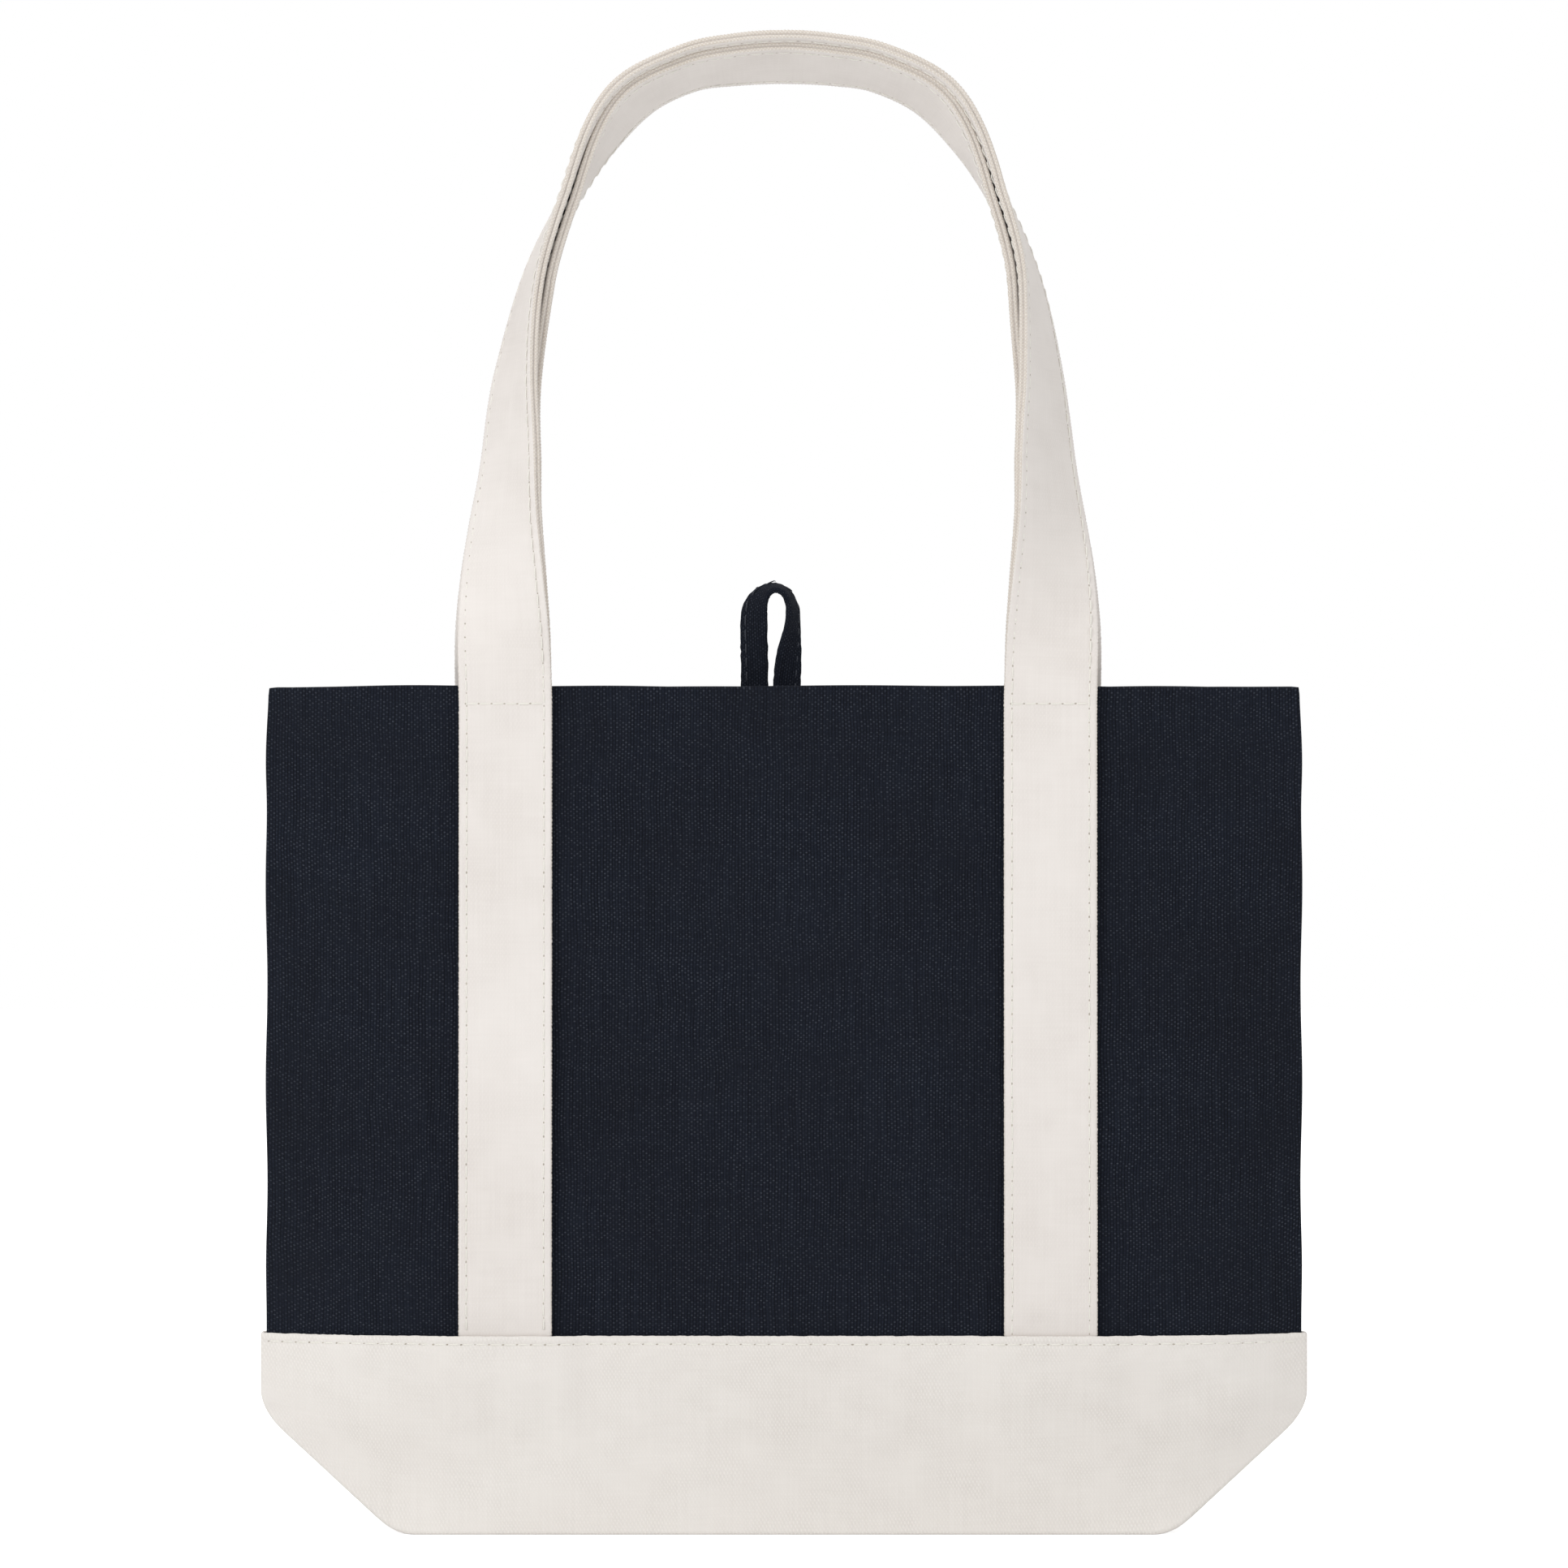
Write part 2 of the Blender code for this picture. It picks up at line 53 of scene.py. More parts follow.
BASE_ABOVE_FOLD = 0.0257
GUSSET = 0.090
STANDING_DEPTH = 0.040
MOUTH_DEPTH = 0.028
CANVAS = 0.0011
CLEARANCE = 0.0003
HEM_DEPTH = 0.025
SEAM_ALLOWANCE = 0.009
LAP = 0.010
FLAT_SHARE = 0.64
BOTTOM_CORNER_ROUND = 0.006
SIDE_CORNER_ROUND = 0.0065
STRAP_WIDTH = 0.031
STRAP_THICKNESS = 0.0032
STRAP_SPACING = 0.1806
STRAP_OFFSET = -0.002
BACK_STRAP_EXTRA = 0.005
PANEL_INSET = 0.0019
STRAP_TUCK = 0.008
STRAP_ANCHOR_DROP = 0.0055
HANDLE_RISE = 0.2116  # from the hem to the middle of the front handle's thickness at its top
ARCH_SHAPE = (  # one half of a handle: shares of half the strap spacing, and of the rise
    (1.000, 0.000), (1.008, 0.130), (1.004, 0.244), (0.986, 0.356), (0.970, 0.495), (0.915, 0.647),
    (0.808, 0.773), (0.692, 0.872), (0.556, 0.941), (0.359, 0.982), (0.188, 0.995), (0.000, 1.000),
)
NEST_GAP = 0.0003
ARCH_DEPTH = 0.0015
TWIST_START = 0.012
TWIST_END = 0.180
TWIST_SHAPE = (0.0, 0.27, 0.52, 0.655, 0.78, 0.92, 1.0)
NEST_START = 0.085
NEST_LENGTH = 0.055
LEAN_IN_LENGTH = 0.150
LOOP_OFFSET = -0.0045
LOOP_TAPE_WIDTH = 0.0092
LOOP_TAPE_THICKNESS = 0.0020

LAYER = CANVAS + CLEARANCE
FOLD_TURN = math.radians(60)
FOLD_REACH = LAYER / 2 * math.sin(FOLD_TURN) + CANVAS / 2
SEAM_Y = LAYER / 2 + 0.0001
EDGE_Y = SEAM_Y + LAYER
BOTTOM_Y = STANDING_DEPTH / 2 - CANVAS / 2
MOUTH_Y = MOUTH_DEPTH / 2 - CANVAS / 2
FULL_HALF = BAG_WIDTH / 2 - FOLD_REACH
RIDGE = math.sqrt((GUSSET / 2) ** 2 - (STANDING_DEPTH / 2) ** 2)
BASE_HEIGHT = RIDGE + BASE_ABOVE_FOLD
FIN_TOP = RIDGE + SEAM_ALLOWANCE
HINGE_Z = BAG_HEIGHT - STRAP_ANCHOR_DROP
STRAP_LIFT = CANVAS / 2 + CLEARANCE + STRAP_THICKNESS / 2
FRONT, BACK = -1, 1

# Sewing
STITCH_PITCH = 0.0046
STITCH_LENGTH = 0.0037
THREAD = 0.00021  # radius
STRAP_ROW = 0.0027  # edge stitching, in from a strap's edge
BASE_ROW = 0.0029  # topstitching, down from the base's top edge

# How far the cloth wanders from its smooth shape
PANEL_RIPPLE = 0.0009
BASE_RIPPLE = 0.0007
ARCH_TILT = math.radians(16)
NEST_TURN = math.radians(0.6)  # the back arch turns this much less, so that the two touch
PRESSED_END = 0.5  # share of a strap's thickness that is left under the base's stitching
EDGE_YARN = 0.00115  # from one yarn to the next along a strap's folded edge
EDGE_LUMP = 0.00011  # height of the small swelling of each of those yarns
STATION_PITCH = 0.0004  # from one cross section of a strap to the next
# The cloth in this band is painted darker and browner between its yarns: painted shade where a strap's
# edge turns away from the light, over the real turned yarns.
FOLD_BAND = 0.0008  # width of cloth at a strap's edge that shows the turned yarns
ALLOWANCE_STEPS = 6  # columns of mesh across a side allowance

# Material slots: of a strap's folded edges, and of the thread and the needle holes
FOLDED_EDGE = 1
THREAD_FACE, HOLE_FACE = 0, 1

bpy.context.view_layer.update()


# ---------------------------------------------------------------- the bag's shape


def smooth(value):
    """0 up to 0, 1 from 1, and a smooth step between."""
    value = min(1.0, max(0.0, value))
    return value * value * (3 - 2 * value)


def bell(value, width):
    return math.exp(-((value / width) ** 2))


def wander(x, z, seed, size):
    """Smooth noise between about -1 and 1, with features of this size."""
    place = Vector((x / size, z / size, seed))
    return noise.noise(place) * 1.6


def half_width(z):
    """Half width of the bag's outline at height z, inside the turn of the seam or fold."""
    corner = FULL_HALF - GUSSET / 2
    height = z - FOLD_REACH
    ridge = RIDGE - FOLD_REACH
    rise = ridge / (GUSSET / 2)
    if height < rise * BOTTOM_CORNER_ROUND:
        rounding = math.sqrt(4 * BOTTOM_CORNER_ROUND * max(height, 0.0) / rise)
        return corner - BOTTOM_CORNER_ROUND + rounding
    if height < ridge - SIDE_CORNER_ROUND:
        return corner + height / rise
    left = max(0.0, ridge + SIDE_CORNER_ROUND - height)
    full = FULL_HALF - left**2 / (4 * SIDE_CORNER_ROUND * rise)
    pinch = 0.0010 * bell(BAG_HEIGHT - z, 0.013)
    swell = 0.0005 * bell(BAG_HEIGHT - 0.027 - z, 0.012)
    wave = 0.0003 * math.sin(z * 95) * smooth((z - BASE_HEIGHT) / 0.03)
    return full - pinch + swell + wave


def panel_depth(z):
    return BOTTOM_Y + (MOUTH_Y - BOTTOM_Y) * z / BAG_HEIGHT


def fold_depth(z):
    return (BOTTOM_Y - EDGE_Y) * max(0.0, (RIDGE - z) / (RIDGE - FOLD_REACH))


def ripple(x, z, side):
    """How far the cloth of one half stands off its smooth shape, which all its layers share."""
    near_edge = 1 - smooth((abs(x) / half_width(min(z, BAG_HEIGHT)) - 0.80) / 0.18)
    low = smooth((z - 0.006) / 0.03)
    high = 1 - 0.65 * smooth((z - BAG_HEIGHT + 0.045) / 0.04)
    seed = 3.0 if side == FRONT else 11.0
    broad = wander(x, z * 0.7, seed, 0.085)
    fine = wander(x, z * 0.8, seed + 5, 0.032)
    return PANEL_RIPPLE * near_edge * low * high * (broad + 0.35 * fine)


def skin_depth(x, z, side):
    """Distance of a panel's middle surface from the bag's middle plane."""
    edge = EDGE_Y + fold_depth(z)
    share = max(0.0, (abs(x) / half_width(z) - FLAT_SHARE) / (1 - FLAT_SHARE))
    flat = edge + (panel_depth(z) - edge) * (1 - min(1.0, share) ** 2)
    return flat + ripple(x, z, side)


def inner_depth(x, z, side):
    """The same for the cloth inside: seam allowances, and the bottom that is folded up."""
    plain = SEAM_Y + fold_depth(z)
    hem = smooth((z - BAG_HEIGHT + 0.016) / 0.014)
    return plain + (skin_depth(x, z, side) - LAYER - plain) * hem if hem > 0 else plain


def strap_x(side):
    """Middle of a strap's leg from the middle of the bag."""
    return (STRAP_SPACING + (BACK_STRAP_EXTRA if side == BACK else 0.0)) / 2


def base_lift(x, z, side):
    """How far the base stands off the panel: over the lap, and more over the strap ends."""
    over_lap = smooth((z - (BASE_HEIGHT - LAP) + 0.031) / 0.030)
    from_strap = abs(abs(x - STRAP_OFFSET) - strap_x(side)) - STRAP_WIDTH / 2 - CANVAS
    over_strap = 1 - smooth(from_strap / 0.012)
    bump = STRAP_THICKNESS * PRESSED_END + CLEARANCE
    return (LAYER + 0.0002 + bump * over_strap) * over_lap


def base_relief(x, z, side):
    """The small shape of the base: puffed between its edge and its row of stitches, and creased."""
    down = BASE_HEIGHT - z
    pull = 0.6 + 0.4 * math.cos(2 * math.pi * (x / STITCH_PITCH))
    row = -0.00030 * bell(down - BASE_ROW, 0.0009) * pull
    puff = 0.00020 * bell(down - 0.0016, 0.0011)
    below = 0.00022 * bell(down - 0.0070, 0.0030) * (0.2 + wander(x, z, 21.0 + side, 0.006))
    low = smooth((z - 0.004) / 0.02)
    near_edge = 1 - smooth((abs(x) / half_width(z) - 0.86) / 0.12)
    slack = BASE_RIPPLE * wander(x, z * 1.3, 31.0 + side, 0.045) * low * near_edge
    slack += 0.0005 * wander(x * 1.3 + z, z - 0.5 * x, 41.0 + side, 0.015) * low * near_edge
    return row + puff + below + slack * smooth((down - 0.004) / 0.012)


# ---------------------------------------------------------------- materials


class Nodes:
    """A material's node tree, with short calls for the nodes a cloth needs."""

    def __init__(self, name):
        self.material = bpy.data.materials.new(name)
        self.material.use_nodes = True
        self.tree = self.material.node_tree
        self.shader = self.tree.nodes["Principled BSDF"]

    def link(self, value, socket):
        if isinstance(value, bpy.types.NodeSocket):
            self.tree.links.new(value, socket)
        else:
            socket.default_value = value

    def math(self, operation, *values):
        node = self.tree.nodes.new("ShaderNodeMath")
        node.operation = operation
        for value, socket in zip(values, node.inputs):
            self.link(value, socket)
        return node.outputs[0]

    def remap(self, value, low, high, to_low, to_high):
        node = self.tree.nodes.new("ShaderNodeMapRange")
        for number, socket in zip((value, low, high, to_low, to_high), node.inputs):
            self.link(number, socket)
        return node.outputs[0]

    def stretched(self, vector, scale):
        node = self.tree.nodes.new("ShaderNodeMapping")
        self.link(vector, node.inputs["Vector"])
        node.inputs["Scale"].default_value = scale
        return node.outputs[0]

    def noise(self, vector, scale, detail=2.0, roughness=0.5):
        node = self.tree.nodes.new("ShaderNodeTexNoise")
        self.link(vector, node.inputs["Vector"])
        node.inputs["Scale"].default_value = scale
        node.inputs["Detail"].default_value = detail
        node.inputs["Roughness"].default_value = roughness
        return node.outputs["Fac"]

    def mix(self, share, first, second, blend="MIX"):
        node = self.tree.nodes.new("ShaderNodeMix")
        node.data_type = "RGBA"
        node.blend_type = blend
        sockets = {socket.identifier: socket for socket in node.inputs}
        self.link(share, sockets["Factor_Float"])
        self.link(first, sockets["A_Color"])
        self.link(second, sockets["B_Color"])
        return next(s for s in node.outputs if s.identifier == "Result_Color")

    def bump(self, height, strength, distance, normal=None):
        node = self.tree.nodes.new("ShaderNodeBump")
        self.link(height, node.inputs["Height"])
        node.inputs["Strength"].default_value = strength
        node.inputs["Distance"].default_value = distance
        if normal is not None:
            self.link(normal, node.inputs["Normal"])
        return node.outputs[0]


def coordinates(nodes, from_uv):
    """(vector, across, along) in metres: the UV map, or a CAD node's own X, and Z plus Y."""
    source = nodes.tree.nodes.new("ShaderNodeTexCoord")
    split = nodes.tree.nodes.new("ShaderNodeSeparateXYZ")
    if from_uv:
        vector = source.outputs["UV"]
        nodes.link(vector, split.inputs[0])
        return vector, split.outputs["X"], split.outputs["Y"]
    nodes.link(source.outputs["Object"], split.inputs[0])
    join = nodes.tree.nodes.new("ShaderNodeCombineXYZ")
    nodes.link(split.outputs["X"], join.inputs["X"])
    along = nodes.math("ADD", split.outputs["Z"], split.outputs["Y"])
    nodes.link(along, join.inputs["Y"])
    return join.outputs[0], split.outputs["X"], along


def canvas_material(name, dark, middle, light, pitch, look, from_uv=True):
    """Plain-weave duck: yarns that pass over and under, slubs, flecks, fading and fine fuzz."""
    nodes = Nodes(name)
    vector, across, along = coordinates(nodes, from_uv)
    bend_x = nodes.noise(vector, 45.0, 1.0)
    bend_y = nodes.noise(nodes.stretched(vector, (1.0, 1.3, 1.0)), 60.0, 1.0)
    u = nodes.math("MULTIPLY", across, 1 / pitch[0])
    v = nodes.math("MULTIPLY", along, 1 / pitch[1])
    u = nodes.math("ADD", u, nodes.math("MULTIPLY", bend_x, look["wander"]))
    v = nodes.math("ADD", v, nodes.math("MULTIPLY", bend_y, look["wander"]))
    over = nodes.math("SINE", nodes.math("MULTIPLY", u, math.pi))
    under = nodes.math("SINE", nodes.math("MULTIPLY", v, math.pi))
    tops = nodes.math("MAXIMUM", nodes.math("MULTIPLY", over, under), 0.0)
    slanted = nodes.math("COSINE", nodes.math("MULTIPLY", nodes.math("ADD", u, v), math.pi))
    slanted = nodes.remap(slanted, -1.0, 1.0, 1.0, 0.0)
    columns = nodes.math("ABSOLUTE", over)
    yarns = nodes.math("ADD", nodes.math("MULTIPLY", tops, look["tops"]),
                       nodes.math("MULTIPLY", columns, look["columns"]))
    yarns = nodes.math("ADD", yarns, nodes.math("MULTIPLY", slanted, look["slanted"]))
    clear = nodes.noise(vector, 55.0, 2.0, 0.6)
    clear = nodes.remap(clear, 0.35, 0.65, look["clear"], 1.0)
    yarns = nodes.math("ADD", nodes.math("MULTIPLY", nodes.math("SUBTRACT", yarns, 0.5), clear), 0.5)

    cell = nodes.tree.nodes.new("ShaderNodeCombineXYZ")
    nodes.link(nodes.math("FLOOR", u, 0.0), cell.inputs["X"])
    nodes.link(nodes.math("FLOOR", v, 0.0), cell.inputs["Y"])
    chance = nodes.tree.nodes.new("ShaderNodeTexWhiteNoise")
    nodes.link(cell.outputs[0], chance.inputs["Vector"])
    picked = nodes.remap(chance.outputs["Value"], look["speck_from"], 1.0, 0.0, look["speck"])
    specks = nodes.math("MULTIPLY", nodes.math("POWER", tops, 2.0), picked)

    streaks = nodes.noise(nodes.stretched(vector, (1 / pitch[0], 30.0, 1.0)), 1.0, 1.0)
    rows = nodes.noise(nodes.stretched(vector, (60.0, 1 / pitch[1], 1.0)), 1.0, 1.0)
    slubs = nodes.math("ADD", nodes.math("MULTIPLY", streaks, 0.6), nodes.math("MULTIPLY", rows, 0.4))
    fuzz = nodes.noise(vector, 5200.0, 3.0, 0.65)
    height = nodes.math("ADD", yarns, nodes.math("MULTIPLY", fuzz, look["fuzz"]))

    colour = nodes.mix(nodes.remap(yarns, 0.1, 0.9, 0.0, 1.0), dark, middle)
    thread = nodes.remap(slubs, 0.40, 0.66, 0.0, look["slub"])
    colour = nodes.mix(thread, colour, light)
    colour = nodes.mix(specks, colour, look["speck_colour"])
    grain = nodes.remap(fuzz, 0.45, 0.72, 0.0, look["grain"])
    colour = nodes.mix(grain, colour, look["speck_colour"])
    patches = nodes.noise(vector, 9.0, 2.0, 0.5)
    faded = nodes.remap(patches, 0.3, 0.7, 0.0, look["patch"])
    colour = nodes.mix(faded, colour, light)
    blotch = nodes.remap(nodes.noise(vector, 24.0, 3.0, 0.6), 0.35, 0.7, 0.0, look["blotch"])
    colour = nodes.mix(blotch, colour, look["blotch_colour"])

    nodes.link(colour, nodes.shader.inputs["Base Color"])
    nodes.link(nodes.remap(fuzz, 0.3, 0.7, 0.86, 1.0), nodes.shader.inputs["Roughness"])
    normal = nodes.bump(height, look["bump"], look["relief"])
    nodes.link(normal, nodes.shader.inputs["Normal"])
    nodes.shader.inputs["Sheen Weight"].default_value = look["sheen"]
    nodes.shader.inputs["Sheen Roughness"].default_value = 0.6
    nodes.shader.inputs["Sheen Tint"].default_value = light
    nodes.shader.inputs["Specular IOR Level"].default_value = look["specular"]
    return nodes.material


# What canvas_material makes of each cloth: how far its yarns wander and how plainly its tops,
# columns and slanted rows show, then its flecks, stains, relief and shine.
NAVY_LOOK = {
    "grain": 0.12, "clear": 0.7, "wander": 1.9, "tops": 0.45, "columns": 0.60, "slanted": 0.0,
    "fuzz": 0.3, "slub": 0.25, "speck_from": 0.15, "speck": 0.95,
    "speck_colour": (0.062, 0.070, 0.088, 1), "patch": 0.10, "blotch": 0.35,
    "blotch_colour": (0.0080, 0.0085, 0.0120, 1), "bump": 0.7, "relief": 0.00035, "sheen": 0.03,
    "specular": 0.10,
}
CREAM_LOOK = {
    "grain": 0.15, "clear": 0.1, "wander": 2.6, "tops": 0.65, "columns": 0.10, "slanted": 0.15,
    "fuzz": 1.1, "slub": 0.20, "speck_from": 0.93, "speck": 0.5,
    "speck_colour": (0.70, 0.66, 0.58, 1), "patch": 0.35, "blotch": 0.35,
    "blotch_colour": (0.765, 0.722, 0.685, 1), "bump": 0.45, "relief": 0.00017, "sheen": 0.06,
    "specular": 0.15,
}
FOLD_LOOK = dict(CREAM_LOOK, clear=0.9, slanted=0.1, tops=0.9, bump=0.6, patch=0.1, fuzz=0.8)
STRAP_LOOK = dict(CREAM_LOOK, slanted=0.05, tops=0.25, bump=0.3, patch=0.5, blotch=0.15)
# Each cloth's colour between its yarns, on them, and where it is palest
NAVY = ((0.0016, 0.0021, 0.0040, 1), (0.0118, 0.0150, 0.0248, 1), (0.020, 0.026, 0.041, 1))
CREAM = ((0.700, 0.662, 0.622, 1), (0.828, 0.792, 0.752, 1), (0.885, 0.857, 0.822, 1))
STRAP_CREAM = ((0.695, 0.648, 0.612, 1), (0.818, 0.772, 0.737, 1), (0.875, 0.838, 0.805, 1))
# The folded edge: the real turned yarns, with painted shade in their darker, browner gaps where the
# strap's edge turns away from the light
SHADED_FOLD_CREAM = ((0.62, 0.55, 0.475, 1), (0.83, 0.785, 0.73, 1), (0.88, 0.845, 0.80, 1))
# From one yarn to the next, across the cloth and along it
NAVY_PITCH = (0.00100, 0.00070)
CREAM_PITCH = (0.00061, 0.00103)
FOLD_PITCH = (0.0007, 0.00058)
TAPE_PITCH = (0.0008, 0.0006)

navy_canvas = canvas_material("navy_canvas_cloth", *NAVY, NAVY_PITCH, NAVY_LOOK)
cream_canvas = canvas_material("cream_canvas_cloth", *CREAM, CREAM_PITCH, CREAM_LOOK)
cream_strap = canvas_material("cream_strap_cloth", *STRAP_CREAM, CREAM_PITCH, STRAP_LOOK)
# The straps' folded edges: the strap cloth with painted shade between its yarns
shaded_cream_fold = canvas_material("cream_fold_cloth", *SHADED_FOLD_CREAM, FOLD_PITCH, FOLD_LOOK)
navy_tape = canvas_material("navy_tape_cloth", *NAVY, TAPE_PITCH, NAVY_LOOK)
navy_binding = canvas_material("navy_binding_cloth", *NAVY, TAPE_PITCH, NAVY_LOOK, from_uv=False)


def thread_material(name, dark, light):
    """Twisted sewing thread: fine slanting plies, and a colour that varies along it."""
    nodes = Nodes(name)
    source = nodes.tree.nodes.new("ShaderNodeTexCoord")
    wave = nodes.tree.nodes.new("ShaderNodeTexWave")
    wave.inputs["Scale"].default_value = 900.0
    wave.inputs["Distortion"].default_value = 1.5
    wave.bands_direction = "DIAGONAL"
    nodes.link(source.outputs["Object"], wave.inputs["Vector"])
    plies = wave.outputs["Fac"]
    varied = nodes.noise(source.outputs["Object"], 260.0)
    shade = nodes.math("MULTIPLY", nodes.math("ADD", plies, varied), 0.5)
    nodes.link(nodes.mix(shade, dark, light), nodes.shader.inputs["Base Color"])
    nodes.link(nodes.bump(plies, 0.5, 0.00008), nodes.shader.inputs["Normal"])
    nodes.shader.inputs["Roughness"].default_value = 0.62
    nodes.shader.inputs["Sheen Weight"].default_value = 0.1
    return nodes.material


cream_thread = thread_material("cream_thread", (0.76, 0.74, 0.66, 1), (0.90, 0.88, 0.83, 1))
navy_thread = thread_material("navy_thread", (0.008, 0.010, 0.018, 1), (0.030, 0.036, 0.055, 1))


def hole_material():
    """The shaded bottom of a needle hole."""
    nodes = Nodes("needle_hole_shade")
    source = nodes.tree.nodes.new("ShaderNodeTexCoord")
    varied = nodes.noise(source.outputs["Object"], 400.0)
    colour = nodes.mix(varied, (0.26, 0.23, 0.18, 1), (0.68, 0.63, 0.55, 1))
    nodes.link(colour, nodes.shader.inputs["Base Color"])
    nodes.shader.inputs["Roughness"].default_value = 1.0
    nodes.shader.inputs["Specular IOR Level"].default_value = 0.0
    return nodes.material


needle_hole = hole_material()


# ---------------------------------------------------------------- making meshes


def add_object(name, bm, looks, body, thickness=0.0):
    """A mesh becomes a piece that rides on a body, with smooth faces."""
    mesh = bpy.data.meshes.new(name)
    bm.to_mesh(mesh)
    bm.free()
    for look in looks:
        mesh.materials.append(look)
    mesh.shade_smooth()
    obj = bpy.data.objects.new(name, mesh)
    bpy.context.scene.collection.objects.link(obj)
    if thickness:
        solid = obj.modifiers.new("Thickness", "SOLIDIFY")
        solid.thickness = thickness
        solid.offset = 0.0
        solid.use_even_offset = True
        rounded = obj.modifiers.new("Worn edge", "BEVEL")
        rounded.width = thickness * 0.28
        rounded.segments = 2
        rounded.limit_method = "ANGLE"
        rounded.angle_limit = math.radians(60)
    if body:
        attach(obj, body)
    return obj


def add_quads(bm, first, second):
    """Faces between two lists of vertices; a None leaves its faces out."""
    made = []
    for a, b, c, d in zip(first, first[1:], second[1:], second):
        if None not in (a, b, c, d) and len({a, b, c, d}) == 4:
            made.append(bm.faces.new((a, b, c, d)))
    return made


def unwrap_flat(bm, shift=0.0):
    """UVs in metres: X, and height plus depth so that cloth over a fold isn't smeared."""
    layer = bm.loops.layers.uv.verify()
    for face in bm.faces:
        for loop in face.loops:
            x, y, z = loop.vert.co
            loop[layer].uv = (x + shift, z + abs(y) * 0.5)


def outward(points, index):
    """Unit normal of an outline, in the XZ plane, at one of its points."""
    before, after = points[max(0, index - 1)], points[min(len(points) - 1, index + 1)]
    run = after - before
    return Vector((run.z, 0.0, -run.x)).normalized()


def turn_edge(bm, outer, inner, steps=6):
    """Joins the rim of the outer sheet to the rim of the inner one with a round fold."""
    points = [vertex.co.copy() for vertex in outer]
    rings = [outer]
    for step in range(1, steps):
        ring = []
        turn = math.pi * step / steps
        for index, (near, far) in enumerate(zip(outer, inner)):
            middle, reach = (near.co + far.co) / 2, (near.co - far.co) / 2
            out = outward(points, index) * min(reach.length, LAYER / 2)
            place = middle + reach * math.cos(turn) + out * math.sin(turn)
            ring.append(bm.verts.new(place))
        rings.append(ring)
    rings.append(inner)
    for first, second in zip(rings, rings[1:]):
        add_quads(bm, first, second)


def column_shares(spacing):
    """Shares of the half width from one seam to the other, with some right at the allowance."""
    allowance = 1 - SEAM_ALLOWANCE / FULL_HALF
    across = int(allowance * FULL_HALF / spacing)
    half = [allowance * index / across for index in range(across + 1)]
    half += [
        allowance + (1 - allowance) * (index + 1) / ALLOWANCE_STEPS for index in range(ALLOWANCE_STEPS)
    ]
    return [-share for share in reversed(half[1:])] + half


def spread(low, high, spacing):
    count = max(1, round((high - low) / spacing))
    return [low + (high - low) * index / count for index in range(count)]


def build_panel(name, side):
    """A navy panel: its face, the side allowances turned in, and the hem turned down inside."""
    bm = bmesh.new()
    columns = column_shares(0.0026)
    top = BAG_HEIGHT - FOLD_REACH
    low = BASE_HEIGHT - LAP
    heights = spread(low, top - 0.012, 0.0032) + spread(top - 0.012, top, 0.0015) + [top]
    last = len(columns) - 1

    def edge_wave(x, z):
        """The hem's edge isn't quite straight."""
        near = smooth((z - top + 0.03) / 0.03)
        return near * (0.0004 * wander(x, 0.0, 55.0 + side, 0.05) - 0.0006 * (x / 0.17) ** 2 * 0.5)

    outer, inner = [], []
    for z in heights:
        face_row, inner_row = [], []
        for index, share in enumerate(columns):
            x = share * (half_width(z) - PANEL_INSET)
            height = z + edge_wave(x, z)
            face_row.append(bm.verts.new((x, side * skin_depth(x, z, side), height)))
            in_allowance = index <= 6 or index >= last - 6
            in_hem = z >= BAG_HEIGHT - HEM_DEPTH
            depth = inner_depth(x, z, side)
            if not in_allowance:
                depth = skin_depth(x, z, side) - LAYER - 0.00005
            wanted = in_allowance or in_hem
            inner_row.append(bm.verts.new((x, side * depth, height)) if wanted else None)
        outer.append(face_row)
        inner.append(inner_row)
    for below, above in zip(outer, outer[1:]):
        add_quads(bm, below, above)
    for below, above, z in zip(inner, inner[1:], heights):
        add_quads(bm, below[:7], above[:7])
        add_quads(bm, below[last - 6 :], above[last - 6 :])
        add_quads(bm, below[7 : last - 6], above[7 : last - 6])
        if z > BAG_HEIGHT - 0.010:
            add_quads(bm, below[6:8], above[6:8])
            add_quads(bm, below[last - 7 : last - 5], above[last - 7 : last - 5])
    count = len(heights)
    rim = [(j, last) for j in range(count)]
    rim += [(count - 1, i) for i in range(last - 1, -1, -1)]
    rim += [(j, 0) for j in range(count - 2, -1, -1)]
    turn_edge(bm, [outer[j][i] for j, i in rim], [inner[j][i] for j, i in rim])
    bmesh.ops.recalc_face_normals(bm, faces=bm.faces)
    unwrap_flat(bm, 0.013 * side)
    obj = add_object(name, bm, [navy_canvas], "bag", CANVAS)
    return obj


